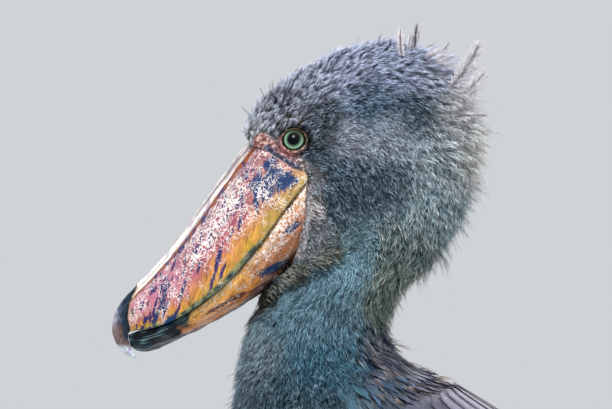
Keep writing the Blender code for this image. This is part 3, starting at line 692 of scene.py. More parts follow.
def make_skin():
    """One skin over head, neck, trunk, tail root and thighs."""
    places = np.concatenate([np.arange(*span) for span in SKIN_SPANS])
    angles = skin_angles()
    rings = list(skin_points(*np.meshgrid(places, angles, indexing="ij")))
    for place, size in TAIL_ROOT:
        ring = body_surface(place, angles, -SKIN_DEPTH)
        rings.append(ring.mean(0) + (ring - ring.mean(0)) * size)
    skin = loft_piece("skin", rings)
    join(skin, [bill_block(SKIN_UNDER_BILL)], "DIFFERENCE")
    thighs = []
    for word, side in SIDES.items():
        share, angle = np.meshgrid(np.linspace(0, 1, 24), full_turn(40), indexing="ij")
        rings = thigh_surface(side, share, angle, -SKIN_DEPTH * (1 - ease(0.85, 1, share)))
        thighs.append(loft_piece(f"{word} thigh", rings))
    join(skin, thighs)
    label_skin(skin)
    skin.data.shade_smooth()
    return skin


# One strand is a thin three-sided blade: rings of left, right and top at root and middle, then a tip.
STRAND_QUADS = np.array([(0, 3, 4, 1), (1, 4, 5, 2), (2, 5, 3, 0)])
STRAND_TRIS = np.array([(0, 1, 2), (3, 6, 4), (4, 6, 5), (5, 6, 3)])
STRAND_SPOTS = np.array([(0.2, 0), (0.8, 0), (0.5, 0), (0.1, 0.5), (0.9, 0.5), (0.5, 0.5), (0.5, 1)])
STRAND_SWELL = (0.8, 1.0)
# The coat's map: how wide it is for one turn, how many places along the body it holds, and a strand's patch.
MAP_WIDTH, MAP_PLACES = 0.7, 25
PATCH, QUILL_PATCH = 0.003, 0.012


def map_place(place, angle):
    """Where a place and an angle of the body lie on the coat's map."""
    return np.stack([angle / (2 * np.pi) % 1.0 * MAP_WIDTH, place / MAP_PLACES], axis=-1)


def strand_points(line, side, out, half):
    """Points of many strands, as strands by seven. line holds each one's root, middle and tip in metres."""
    made = []
    for place, swell in enumerate(STRAND_SWELL):
        reach = side * (half * swell * MM)[:, None]
        ridge = out * (half * 0.7 * MM)[:, None]
        made += [line[:, place] - reach, line[:, place] + reach, line[:, place] + ridge]
    return np.stack(made + [line[:, 2]], axis=1)


def strand_piece(name, points, patch, shades):
    """A mesh object of strands. patch is each one's place on the coat's map, and shades its colours at
    root, middle and tip."""
    start = np.arange(len(points))[:, None, None] * len(STRAND_SPOTS)
    patches = patch[:, None] + (STRAND_SPOTS - 0.5) * PATCH
    quads, tris = STRAND_QUADS + start, STRAND_TRIS + start
    hue = shades[:, [0, 0, 0, 1, 1, 1, 2]].reshape(-1, 3)
    return make_mesh(name, points.reshape(-1, 3), quads, tris, patches.reshape(-1, 2), {"hue": hue})


CELL_LENGTH, CELL_TURN = 0.04, np.radians(1.5)


def scatter(first, last, low, high, density, draw):
    """Roots spread over a stretch of the body as density says, in roots for each 100 mm2. Returns the
    places and angles."""
    places = np.arange(first, last, CELL_LENGTH) + CELL_LENGTH / 2
    angles = np.arange(np.radians(low), np.radians(high), CELL_TURN) + CELL_TURN / 2
    place, angle = np.meshgrid(places, angles, indexing="ij")
    along, around, _ = out_of(body_base, place, angle)
    area = np.linalg.norm(np.cross(along, around), axis=-1) * CELL_LENGTH * CELL_TURN / MM**2
    total = np.cumsum((area * density(place, angle) / 100).ravel())
    count = int(total[-1])
    picks = (np.arange(count) + draw.random(count)) * total[-1] / count
    cell = np.searchsorted(total, picks)
    jitter = draw.random((2, count)) - 0.5
    return place.ravel()[cell] + jitter[0] * CELL_LENGTH, angle.ravel()[cell] + jitter[1] * CELL_TURN


# A tuft's strands spread from the root and close again at the tip, as far as its kind gathers them.
TUFT_STRANDS = 7
TUFT_CLOSE = np.array((0.55, 1.0, 0.35))
TUFT_LOOSE = 2.6
TUFT_RISE = np.array((0.0, 0.78, 1.0))
# How far, in millimetres, a strand bends aside at its middle and tip.
STRAND_KINK = np.array((0, 0.5, -0.35))
STRAND_HALF = ((5, 0.24), (10, 0.3), (26, 0.48))
# At a strand's root, middle and tip: how light it is, how much painted shade darkens it deep in the coat, and
# how much it pales. The dark root is painted shade in the coat, and the light tip is partly the barbs' own
# pale end and partly painted highlight.
STRAND_SHADES = ((-0.8, 0.7, 0.0), (0.05, 0.92, 0.25), (0.9, 1.05, 1.0))
# Shares that sizes are drawn between: of tufts, of how far they stand when they stray and when not, of the
# strands in them, and of bristles and barbs.
TUFT_LENGTHS, STRAY_HEIGHTS, TUFT_HEIGHTS = (0.75, 1.25), (1.4, 2.6), (0.75, 1.12)
STRAND_LENGTHS, STRAND_WIDTHS, BARB_LENGTHS = (0.7, 1.12), (0.75, 1.15), (0.55, 1.2)
# How fast strands lighter than their zone turn to its tip colour.
SHINE = 0.3
# Behind this x the coat is fluffier, and more of its strands stray.
FLUFF = (80, 130)
# Turns of the lie away from the body's length, in degrees towards the back, at points of the head.
LIE = {
    "brow": (0, 20, 14, 6),
    "ear": (44, -4, 18, -12),
    "cheek": (74, -34, 24, 8),
    "gape": (16, -36, 14, -20),
    "jaw": (20, -84, 13, 24),
    "jaw back": (56, -80, 17, 42),
    "nape": (140, 0, 30, 14),
    "fringe front": (-20, -127, 10, 60),
    "fringe": (10, -109, 10, 60),
    "fringe back": (36, -95, 10, 50),
    "neck front": (-44, -170, 24, -6),
    "neck back": (60, -160, 22, 10),
}
# The lie sways in waves of these sizes in millimetres, by so many degrees.
LIE_WAVES = ((26, 9), (11, 11), (5, 6))


def lie_turn(points):
    """How far the coat's lie turns towards the back at points of the body, in radians."""
    spot = from_eye(points)
    total = np.zeros(points.shape[:-1])
    for x, z, reach, turn in LIE.values():
        total += turn * np.exp(-((spot[..., 0] - x) ** 2 + (spot[..., 2] - z) ** 2) / (2 * reach**2))
    for number, (size, turn) in enumerate(LIE_WAVES):
        total += turn * waves(spot, size, 40 + number)
    return np.radians(total)


def tuft_frames(place, angle, length, rise, depth, turn):
    """The root, middle and tip of tufts that follow the body, and the ways out of it there."""
    steps = [np.linalg.norm(way, axis=-1) / MM for way in out_of(body_base, place, angle)[:2]]
    line, outs = [], []
    for share, up in zip((0, 0.5, 1), TUFT_RISE):
        at_place = place + length * share * np.cos(turn) / steps[0]
        at_angle = angle + length * share * np.sin(turn) / steps[1]
        line.append(body_surface(at_place, at_angle, rise * up - depth))
        outs.append(out_of(body_base, at_place, at_angle)[2])
    return np.stack(line, axis=1), np.stack(outs, axis=1)


def tufts(place, angle, draw, plumage):
    """Points, map places and shades of one tuft of strands at each root."""
    count = len(place)
    outline = body_surface(place, angle)
    spot = from_eye(outline)
    bare = bareness(outline)
    weights = zone_weights(outline)
    length, half, stand, _, gather, contrast, paling = np.moveaxis(weights @ ZONE_KINDS, -1, 0)
    mean, pale = weights @ ZONE_COLOURS, weights @ ZONE_TIPS
    turn = -np.sign(np.sin(angle)) * lie_turn(outline) + draw.normal(0, 0.12, count)
    length = length * plumage.length * draw.uniform(*TUFT_LENGTHS, count) * mix(1, 0.4, bare)
    fluff = ease(*FLUFF, spot[:, 0]) * ease(-170, -120, spot[:, 2])
    halo = ease(95, 135, spot[:, 0]) * ease(-60, -10, spot[:, 2])
    stray = draw.random(count) < plumage.stray_share * (0.3 + 1.7 * fluff + 4 * halo)
    depth = mix(along_table(COAT_DEPTH, place), 1.0, bare)
    height = np.where(stray, draw.uniform(*STRAY_HEIGHTS, count), draw.uniform(*TUFT_HEIGHTS, count))
    rise = depth * stand * height
    line, out = tuft_frames(place, angle, length, rise, depth, turn)

    each = np.repeat(np.arange(count), TUFT_STRANDS)
    total = len(each)
    way = unit(line[:, 2] - line[:, 0])
    side = unit(np.cross(way, out[:, 1]))
    across = np.tile(np.linspace(-1, 1, TUFT_STRANDS), count) + draw.normal(0, 0.2, total)
    loose = (1 - gather[each]) * TUFT_LOOSE
    gathered = across[:, None] * half[each][:, None] * TUFT_CLOSE
    scattered = draw.normal(0, 1, (total, 1)) + draw.normal(0, 1, (total, 1)) * STRAND_KINK
    offset = mix(scattered * loose[:, None], gathered, gather[each][:, None])
    slide = draw.normal(0, 1.2, total) * loose
    trim = (1 - 0.16 * np.abs(across) * gather[each]) * draw.uniform(*STRAND_LENGTHS, total)
    reach = np.array((0, 0.5, 1)) * (trim[:, None] - 1) * length[each][:, None] + slide[:, None]
    droop = (np.abs(across) * gather[each] * 0.5)[:, None]
    lift = draw.normal(0, 0.5, (total, 1)) * np.array((0.3, 0.7, 1)) - droop
    points = line[each] + side[each][:, None] * (offset * MM)[..., None]
    points += way[each][:, None] * (reach * MM)[..., None] + out[each] * (lift * MM)[..., None]
    blade = along_table(STRAND_HALF, length)[each] * draw.uniform(*STRAND_WIDTHS, total)
    made = strand_points(points, side[each], out[each][:, 1], blade)

    tone = 0.5 * waves(spot, 13, 11) + 0.9 * waves(spot, 6, 12) + draw.normal(0, 0.8, count)
    tone = tone[each] + draw.normal(0, 0.8, total) + gather[each] * (1.1 * np.abs(across) - 0.5)
    tipped = np.where(stray[each], 1, paling[each] * draw.random(total)) * (1 - bare[each] * 0.5)
    shades = []
    # Painted shade darkens each strand towards its root, and gathered tufts most. Its tip is lightened,
    # partly as painted highlight.
    for step, painted_depth_shade, share in STRAND_SHADES:
        level = np.exp(contrast[each] * (tone * 0.8 + step)) * mix(painted_depth_shade, painted_depth_shade**2, gather[each])
        paled = np.clip(tipped * share + SHINE * np.maximum(level - 1, 0), 0, 0.9)
        shades.append(tint(mean[each] * np.minimum(level, 1.5)[:, None], pale[each], paled))
    return made, map_place(place, angle)[each], np.clip(np.stack(shades, axis=1), 0, 0.9)


# Stretches of the tufted coat: first and last place along the body, and the angles down from the back.
COAT = {
    "crown_coat": (0.2, 5.0, -62, 62),
    "left_face_coat": (0.2, 5.0, -180, -62),
    "right_face_coat": (0.2, 5.0, 62, 180),
    "left_nape_coat": (5.0, 8.6, -70, 0),
    "right_nape_coat": (5.0, 8.6, 0, 70),
    "left_cheek_coat": (5.0, 8.6, -180, -70),
    "right_cheek_coat": (5.0, 8.6, 70, 180),
    "left_neck_coat": (8.6, 13.6, -180, 0),
    "right_neck_coat": (8.6, 13.6, 0, 180),
}


# How far ahead of the feather edge tufts still grow.
TUFTS_AHEAD = 2.2


def coat_density(plumage, place, angle):
    """Tufts for 100 mm2 over head and neck, few on the bare skin and none under the bill."""
    points = body_surface(place, angle)
    count = (zone_weights(points) @ ZONE_KINDS)[..., 3]
    density = count * (1 - 0.97 * bareness(points)) * plumage.fullness
    x, _, z = np.moveaxis(from_eye(points), -1, 0)
    return np.where(x < feather_edge(z) - TUFTS_AHEAD, 0, density)


def make_coat(name, plumage):
    """The tufts of one stretch of head and neck."""
    first, last, low, high = COAT[name]
    draw = np.random.default_rng(SEEDS["coat"] + list(COAT).index(name))
    place, angle = scatter(first, last, low, high, partial(coat_density, plumage), draw)
    return strand_piece(name, *tufts(place, angle, draw, plumage))


# Bristles along lines seen from the side: the line, their heading up from straight back and its spread in
# degrees, how far roots stray from the line, length, stand off the skin, count, and colours of root and tip.
# The dark root colour is painted shade among the bristles.
BRISTLES = {
    "jaw fringe": (
        ((-31, -133), (-17, -119.5), (-5, -109), (4, -103), (18, -97.5), (32, -91)),
        -12, 20, 2.2, 11, 1.0, 430, "1a1d1c", "b4b6a8",
    ),
    "crown curls": (
        ((-9, 51), (10, 61), (24, 67), (36, 74.5), (57, 80.5)),
        40, 24, 3.4, 7.5, 2.4, 900, "8890aa", "fafaff",
    ),
    "bill rim": (
        ((12.5, -36), (11.4, -50), (10.5, -66), (7, -84), (2, -98)),
        -60, 30, 1.2, 5, 1.0, 420, "77727a", "dcd6d4",
    ),
    "brow lashes": (
        ((-14, 9), (-7, 12.5), (1, 13.5), (8, 12)),
        82, 13, 3.0, 7.5, 0.5, 110, "2a2a28", "7c735c",
    ),
}
BRISTLE_STEPS = 24
BRISTLE_HALF = 0.3


def bristles(row, side, draw):
    """Points, map places and shades of the bristles along one line on one side of the head."""
    line, heading, spread, stray, length, stand, count, dark, light = row
    along = read_line(line, np.linspace(0, 1, BRISTLE_STEPS))
    found = np.array([on_the_body(x, z, 1) for x, z in along])
    place, angle = read_line(found, draw.random(count)).T
    root = body_surface(place, side * angle, -1.0)
    out = out_of(body_base, place, side * angle)[2]
    turn = np.radians(heading + draw.normal(0, spread, count))
    way = np.stack([np.cos(turn), 0 * turn, np.sin(turn)], axis=-1)
    way = unit(way - out * np.sum(way * out, axis=-1, keepdims=True))
    across = np.cross(way, out)
    root += (way * draw.normal(0, stray, (count, 1)) + across * draw.normal(0, stray, (count, 1))) * MM
    size = length * draw.uniform(*BARB_LENGTHS, (count, 1)) * MM
    middle = root + (way * 0.5 + across * draw.normal(0, 0.1, (count, 1))) * size + out * stand * MM
    tip = root + way * size + out * (stand * draw.uniform(-0.6, 1.2, (count, 1))) * MM
    line = np.stack([root, middle, tip], axis=1)
    points = strand_points(line, across, out, np.full(count, BRISTLE_HALF))
    tone = draw.normal(0.3, 0.5, count)
    # Each bristle runs from its dark root, a painted shade, to its lighter tip.
    shades = [tint(linear(dark), light, np.clip(tone * lighter, 0, 1)) for lighter in (0.2, 0.9, 1.5)]
    return points, map_place(place, side * angle), np.stack(shades, axis=1)


def make_bristles():
    """The bristles of jaw, bill edge and brow on both sides."""
    draw = np.random.default_rng(SEEDS["bristles"])
    parts = [bristles(row, side, draw) for row in BRISTLES.values() for side in SIDES.values()]
    return strand_piece("bristles", *(np.concatenate(part) for part in zip(*parts)))


def barb_finish(add, place):
    """Feather barbs, dry keratin in fine threads: matt and softly mottled, with a trace of sheen."""
    hue = add("Attribute", attribute_name="hue")
    mottle = add("TexNoise", place, None, 1 / (2.4 * MM), 3.0)
    level = add("MapRange", mottle, 0.3, 0.7, 0.72, 1.26)
    return {
        "Base Color": add("VectorMath", hue, level, operation="MULTIPLY"), "Roughness": 0.6, "IOR": 1.55,
        "Sheen Weight": 0.08, "Sheen Roughness": 0.4, "Specular IOR Level": 0.12,
    }


DUSK_STOPS = ((0.42, "081222"), (0.5, "1c2c46"), (0.57, "4c5068"), (0.64, "948896"))


def skin_finish(add, place):
    """Living skin, dry and finely wrinkled: flushed and speckled where bare, and under feathers the plumage
    colour darkened as painted shade.
    """
    hue, flesh = (add("Attribute", attribute_name=label) for label in ("hue", "flesh"))
    bare, band = (add("Attribute", attribute_name=label, output=2) for label in ("bare", "band"))
    blotch = add("TexNoise", place, None, 1 / (3 * MM), 3.0, 0.7)
    level = add("MapRange", blotch, 0.36, 0.6, 0.15, 1.3)
    flush = add("VectorMath", flesh, level, operation="MULTIPLY")
    flaked = add("MapRange", blotch, 0.51, 0.62, 0.0, 0.6)
    flush = add("Mix", flaked, named={6: flush, 7: "dccbc4"}, **RGBA)
    dusk = add("ValToRGB", blotch, stops=DUSK_STOPS)
    edge = add("Math", blotch, 0.8, band, operation="MULTIPLY_ADD")
    in_band = add("MapRange", edge, 0.7, 1.05)
    shown = add("Mix", in_band, named={6: flush, 7: dusk}, **RGBA)
    colour = add("Mix", bare, named={6: hue, 7: shown}, **RGBA)
    cells = add("TexVoronoi", place, None, 1 / (1.1 * MM))
    bump = add("Bump", named={"Height": cells, "Strength": 0.6, "Distance": 0.6 * MM})
    return {
        "Base Color": colour, "Normal": bump, "Roughness": 0.5, "Subsurface Weight": 0.12,
        "Subsurface Scale": 2 * MM, "Specular IOR Level": 0.25,
    }


# The bill's own frame: along its length from the gape to the tip, and up from there to the ridge.
BILL_START = (-2, -28)
BILL_SLOPE = np.radians(50)
GROWTH_SLOPE = np.radians(75)
BILL_ROWS = 264
NAIL_LINE = ((-131, -122), (-136.5, -134), (-137.5, -146), (-135, -160), (-120, -164), (-110, -190))
NOSTRIL_LINE = ((-34, -8), (-45, -21.5))
# Grooves and rims of the bill: rise and reach across, in millimetres or, along the ridge and the mouth, as
# a share of the width or height.
NAIL_GROOVE, NOSTRIL_SLIT, RIDGE_GROOVE = (-0.7, 1.3), (-2.4, 0.9), (-0.5, 0.02)
UPPER_RIM, LOWER_RIM = (0.5, 0.02), (0.4, 0.04)
# Where the nostril's slit ends, and how far aside the groove beside the ridge lies.
SLIT_ENDS = (-46, -33)
GROOVE_ASIDE = 0.235

# The rear edge rolls under the feathers: how far back and how far in each of its rings lies.
REAR_ROLL = ((3.2, 7.0), (1.8, 3.0), (0.7, 1.0))

# Dark marks on the side of the bill: x, z, half length, half width, slope in degrees, and kind.
NAVY, INDIGO, BROWN = 0.0, 0.5, 1.0
MARKS = (
    (-29.9, -42.4, 16, 3.2, 84, NAVY), (-20.5, -35.3, 15, 5.4, 78, NAVY), (-9, -34, 9, 6, 60, NAVY),
    (-20.5, -19.5, 6.5, 4.2, 30, NAVY), (-1.5, -34.6, 6, 4.2, 50, NAVY), (-32.2, -35.9, 7, 3.4, 80, NAVY),
    (-14, -27, 6, 4, 40, NAVY), (-38.8, -26.8, 5.5, 1.4, 70, INDIGO), (-44.7, -49, 7, 2, 68, INDIGO),
    (-44, -67.3, 8, 1.3, 75, INDIGO), (-59, -55.5, 5.5, 1.3, 60, INDIGO), (-61.7, -95.4, 11, 2, 75, INDIGO),
    (-59, -108.5, 8, 1.4, 70, INDIGO), (-66.9, -115.6, 12, 1.2, 72, INDIGO),
    (-91, -122.2, 12, 1.5, 73, INDIGO), (-108.7, -132.7, 10, 1.9, 76, INDIGO),
    (-105.5, -137.8, 9, 1.2, 72, INDIGO), (-114.8, -148.4, 5, 2.2, 60, NAVY),
    (-102.2, -147.6, 7, 2.4, 45, NAVY), (-96.3, -141.9, 7, 1.1, 70, INDIGO),
    (-125.7, -136, 4, 1.5, 75, INDIGO), (-106.8, -115.6, 5.5, 1.2, 70, INDIGO),
    (-114.6, -122.2, 4, 1, 72, INDIGO), (-88.6, -96, 4.5, 1.2, 80, INDIGO),
    (-74, -64.7, 4, 1.8, 50, INDIGO), (-93, -89.5, 5, 1.2, 60, INDIGO),
    (-52, -78, 6, 1.1, 70, INDIGO), (-78, -104, 6, 1.2, 76, INDIGO), (-100, -104, 5, 1, 70, INDIGO),
    (-16.6, -105.2, 14.5, 3.5, 27, NAVY), (-1.5, -71.9, 7.5, 2.8, 33, NAVY), (-4.8, -106, 7, 1.4, 42, NAVY),
    (-46.7, -128.8, 10, 1.7, 25, BROWN), (-62, -137, 12, 1.5, 30, BROWN), (-30, -121, 9, 1.3, 32, BROWN),
    (-133, -142.5, 4, 2.4, 75, BROWN), (-3, -55, 5, 1.6, 70, BROWN), (-112, -141, 5, 1.6, 62, NAVY),
)
MARK_INKS = ((NAVY, "00305e"), (INDIGO, "28225a"), (BROWN, "5c342c"))
# Small streaks of pigment strewn over the upper bill: count, spans of along and up, and their sizes.
STRAY_MARKS = 150
STRAY_SPAN = ((14, 186), (0.3, 0.86))
STRAY_LENGTH, STRAY_WIDTH = (1.6, 5.5), (0.45, 1.0)
# Base colours up the side of each half of the bill, near the gape and further ahead.
UPPER_REAR = (
    (0.0, "a88a48"), (0.1, "bf9c50"), (0.2, "b07c5a"), (0.4, "a06056"), (0.7, "94505c"), (0.95, "a06670"),
)
UPPER_MIDDLE = (
    (0.0, "a98a3c"), (0.08, "c4963c"), (0.26, "c48747"), (0.38, "b26c58"), (0.48, "9e5460"), (0.9, "924c64"),
)
UPPER_FRONT = (
    (0.0, "a98a3c"), (0.1, "c4923c"), (0.2, "c08044"), (0.34, "b87468"), (0.48, "b47080"), (0.9, "b8788c"),
)
LOWER_REAR = (
    (0.0, "c08c44"), (0.12, "c4946a"), (0.4, "c0805c"), (0.65, "c27c50"), (0.9, "b87a5c"), (1.0, "7c5a56"),
)
LOWER_MIDDLE = (
    (0.0, "c0ac74"), (0.1, "dcb068"), (0.3, "eaa84e"), (0.55, "e69c44"), (0.8, "d48a4a"), (0.93, "885650"),
)
# The white band along the ridge is partly the ridge's pale horn and partly painted highlight.
RIDGE_AND_HIGHLIGHT_TONES = ((-0.9, "6c6470"), (-0.5, "b4a8a8"), (0.0, "ece6dc"), (0.6, "fffaf0"))
MOUTH_TONES = ((-0.8, "20302e"), (0, "4c5e52"), (0.8, "98965c"))
TIP_TONES = ((-0.8, "000204"), (-0.1, "021420"), (0.4, "0a2e3e"), (0.9, "6c8890"))
# The nail is navy by its root and turns pale lilac towards its front edge: partly its own colour and partly
# painted highlight that carries on from the ridge.
NAIL_AND_HIGHLIGHT_TONES = ((0, "040e1a"), (3.5, "0a2438"), (6, "182c42"), (8.5, "4a5670"), (11, "8c8ca2"), (14, "b0acba"))


def all_marks():
    """The marks that are seen one by one, and the small ones strewn between them."""
    draw = np.random.default_rng(SEEDS["marks"])
    rows = list(MARKS)
    for _ in range(STRAY_MARKS):
        along = draw.uniform(*STRAY_SPAN[0])
        up = draw.uniform(*STRAY_SPAN[1]) * np.interp(along, (0, 120, 190), (46, 46, 16))
        x = BILL_START[0] - along * np.cos(BILL_SLOPE) - up * np.sin(BILL_SLOPE)
        z = BILL_START[1] - along * np.sin(BILL_SLOPE) + up * np.cos(BILL_SLOPE)
        size = draw.uniform(*STRAY_LENGTH), draw.uniform(*STRAY_WIDTH)
        rows.append((x, z, *size, draw.normal(74, 5), INDIGO))
    return rows


def bill_marks(x, z, rows):
    """How strongly the marks show at points of the bill, and which kind they are."""
    strength, kind = np.zeros(x.shape), np.zeros(x.shape)
    for at_x, at_z, length, width, slope, sort in rows:
        turn = np.radians(slope)
        along = (x - at_x) * np.cos(turn) + (z - at_z) * np.sin(turn)
        across = (z - at_z) * np.cos(turn) - (x - at_x) * np.sin(turn)
        here = np.clip(1.5 - np.hypot(along / length, across / width), 0, 1)
        kind = np.where(here > strength, sort, kind)
        strength = np.maximum(strength, here)
    return strength, kind


# Half width and height in millimetres that even out the points of a half outline, and their count.
OUTLINE_SCALE = (57, 36)
OUTLINE_POINTS = 88
# How far ahead of the feather edge the horn starts.
BILL_REAR = 0.6
MOUTH_INSIDE = ((0.0, 0.09), (0.2, 0.09), (0.4, 0.09), (0.6, 0.08), (0.78, 0.06), (0.93, 0.02))


def half_outline(outline):
    """Evenly spaced points of a half outline, as shares across and up."""
    way = length_along(np.array(outline) * OUTLINE_SCALE)
    return read_line(outline, np.linspace(0, way[-1], OUTLINE_POINTS), way)


def bill_grid(table, outline):
    """A grid of points over one half of the bill, rows from the feather edge to the tip. Returns the
    points, and each one's share across and up."""
    rows = np.array(list(table.values()), float)
    if table is LOWER_BILL:
        rows = rows[:, [2, 3, 0, 1, 4]]
    right = np.concatenate([MOUTH_INSIDE, half_outline(outline)])
    ring = np.concatenate([right, right[-2:0:-1] * (-1, 1)])
    last = len(rows) - 1
    fine = np.linspace(0, last, 1200)
    found = smooth_rows(rows, fine)
    starts = []
    for _, up in ring:
        x = mix(found[:, 2], found[:, 0], up)
        z = mix(found[:, 3], found[:, 1], up)
        behind = x > feather_edge(z) - BILL_REAR
        starts.append(fine[np.nonzero(behind)[0].max()] if behind.any() else 0)
    place = mix(np.array(starts), last, np.linspace(0, 1, BILL_ROWS)[:, None])
    rows_at = smooth_rows(rows, place)
    across, up = np.broadcast_to(ring[:, 0], place.shape), np.broadcast_to(ring[:, 1], place.shape)
    x, z = (mix(rows_at[..., 2 + i], rows_at[..., i], up) for i in range(2))
    return np.stack([x, rows_at[..., 4] * across, z], axis=-1), across, up


def grid_normals(points):
    """Outward directions of a grid of points that is closed round its columns."""
    along = np.gradient(points, axis=0)
    around = np.roll(points, -1, axis=1) - np.roll(points, 1, axis=1)
    return unit(np.cross(around, along))


def upper_colours(spot, along, across, up, nail_gap):
    """Colours of the upper bill without its marks, and how chalky it is."""
    wander = 0.06 * waves(spot, 30, 51) + 0.05 * waves(spot, 11, 52) + 0.03 * waves(spot, 4.5, 53)
    level = up + wander
    colour = tint(shade_between(UPPER_REAR, level), shade_between(UPPER_MIDDLE, level), ease(28, 62, along))
    colour = tint(colour, shade_between(UPPER_FRONT, level), ease(105, 135, along))
    band = mix(0.02, 0.07, ease(50, 80, along)) * (1 - 0.5 * ease(165, 185, along))
    band = band + 0.008 * waves(spot, 12, 54)
    stretched = spot * (0.16, 1, 1) + spot[..., 2:] * (0.16, 0, 0)
    mouth = shade_between(MOUTH_TONES, waves(stretched, 2.4, 55))
    colour = tint(colour, mouth, ease(0.012, -0.012, up - band) * ease(35, 60, along))
    # Along the ridge the horn turns white, partly its own pale colour and partly painted highlight.
    ridge = waves(np.stack([along * 0.03, across * OUTLINE_SCALE[0], up * 0], axis=-1), 3.0, 56)
    colour = tint(colour, shade_between(RIDGE_AND_HIGHLIGHT_TONES, ridge), ease(0.23, 0.2, across))
    groove = ease(0.46, 0.41, across + 0.03 * waves(spot, 9, 50))
    groove = groove * ease(0.2, 0.222, across) * ease(0.7, 0.8, up)
    colour = tint(colour, "8c4a20", 0.9 * groove)
    nail = ease(-0.6, 0.6, nail_gap)
    wander = 1.2 * waves(spot, 7, 57) + 1.6 * waves(spot * (2, 1, 0.3), 3, 58)
    worn = ease(-146, -158, spot[..., 2]) * ease(5, 8, nail_gap)
    # The nail's pale front is partly its own colour and partly painted highlight.
    horn = tint(shade_between(NAIL_AND_HIGHLIGHT_TONES, nail_gap + wander), "70523e", 0.75 * worn)
    horn = tint(horn, "d2dee6", ease(-168, -173, spot[..., 2]))
    rim = ease(-2.2, -1.0, nail_gap) * ease(0.4, -0.6, nail_gap)
    colour = tint(tint(colour, horn, nail), "c39a62", 0.7 * rim)
    middle = ease(12, 50, along) * ease(132, 84, along)
    chalk = 0.16 + 0.3 * ease(0.36, 0.6, up) * ease(0.98, 0.88, up) * middle
    chalk = chalk - 0.2 * ease(0.42, 0.2, level) * ease(30, 60, along) + 0.12 * waves(spot, 22, 59)
    chalk = mix(chalk, -0.25, np.maximum(nail, groove))
    return colour, mix(-0.3, chalk, ease(0.2, 0.25, across)), nail


def lower_colours(spot, along, up):
    """Colours of the lower bill without its marks, and how chalky it is."""
    streaks = np.stack([along * 0.12, spot[..., 1] * 0.4, up * 36], axis=-1)
    level = up + 0.05 * waves(spot, 26, 61) + 0.11 * waves(streaks, 5.5, 62)
    colour = tint(shade_between(LOWER_MIDDLE, level), shade_between(LOWER_REAR, level), ease(105, 60, along))
    colour = colour * (1 - 0.35 * ease(0.2, 0.9, waves(streaks, 3.2, 63)))[..., None]
    colour = tint(colour, "3b2a20", 0.8 * ease(0.05, 0.02, up))
    colour = tint(colour, "3a2a38", 0.75 * ease(0.9, 0.98, up))
    front = ease(150, 158, along + 5 * waves(spot, 16, 64) + 18 * ease(0.5, 0.05, up))
    colour = tint(colour, shade_between(TIP_TONES, waves(streaks, 3.4, 65)), front)
    chalk = 0.12 + 0.24 * ease(110, 40, along) * ease(0.75, 0.2, up) + 0.1 * waves(spot, 18, 66)
    return colour, mix(chalk, -0.3, front)


def make_bill_half(half):
    """One half of the bill with its groove, nail, pigment, scuffs and rolled rear edge."""
    lower = half == "lower"
    spot, across, up = bill_grid(*((LOWER_BILL, LOWER_OUTLINE) if lower else (UPPER_BILL, UPPER_OUTLINE)))
    normal = grid_normals(spot)
    middle = spot.mean(1, keepdims=True)
    normal = normal * np.sign(np.mean(np.sum(normal * (spot - middle), axis=-1)))
    x, z, width = spot[..., 0], spot[..., 2], np.abs(across)
    along = (BILL_START[0] - x) * np.cos(BILL_SLOPE) + (BILL_START[1] - z) * np.sin(BILL_SLOPE)
    marks, kind = bill_marks(x, z, MARKS if lower else all_marks())
    height = 0.1 * waves(spot, 3.2, 31) + 0.16 * waves(spot, 7.5, 32) + 0.5 * waves(spot, 24, 33)
    height = height * ease(0.02, 0.08, up) - 0.14 * ease(0.3, 0.8, marks)
    if lower:
        colour, chalk = lower_colours(spot, along, up)
        height += swelling(up - 0.05, *LOWER_RIM)
    else:
        nail_gap = -line_gap(x, z, NAIL_LINE)
        colour, chalk, nail = upper_colours(spot, along, width, up, nail_gap)
        height += swelling(nail_gap, *NAIL_GROOVE) * ease(0.05, 0.15, up)
        in_slit = (x > SLIT_ENDS[0]) & (x < SLIT_ENDS[1]) & (width > 0.12)
        slit = np.where(in_slit, line_gap(x, z, NOSTRIL_LINE), 99)
        height += swelling(slit, *NOSTRIL_SLIT) * (np.abs(up - 0.9) < 0.06)
        height += swelling(width - GROOVE_ASIDE, *RIDGE_GROOVE) * (up > 0.8) * (1 - nail)
        height += swelling(up - 0.015, *UPPER_RIM) * (1 - nail)
        marks = marks * (1 - nail) * ease(0.22, 0.28, width)
    spot = spot + normal * height[..., None]
    inward, back = unit(middle - spot), unit(spot[:1] - spot[1:2])
    roll = [spot[0] + back[0] * gap + inward[0] * sink for gap, sink in REAR_ROLL]
    rings = np.concatenate([roll, spot]) * MM + EYE
    labels = {"hue": colour, "ink_hue": shade_between(MARK_INKS, kind), "ink": marks, "chalk": chalk}
    padded = {key: np.concatenate([*[value[:1]] * len(roll), value]) for key, value in labels.items()}
    return loft_piece(f"{half}_bill_horn", rings, **padded)


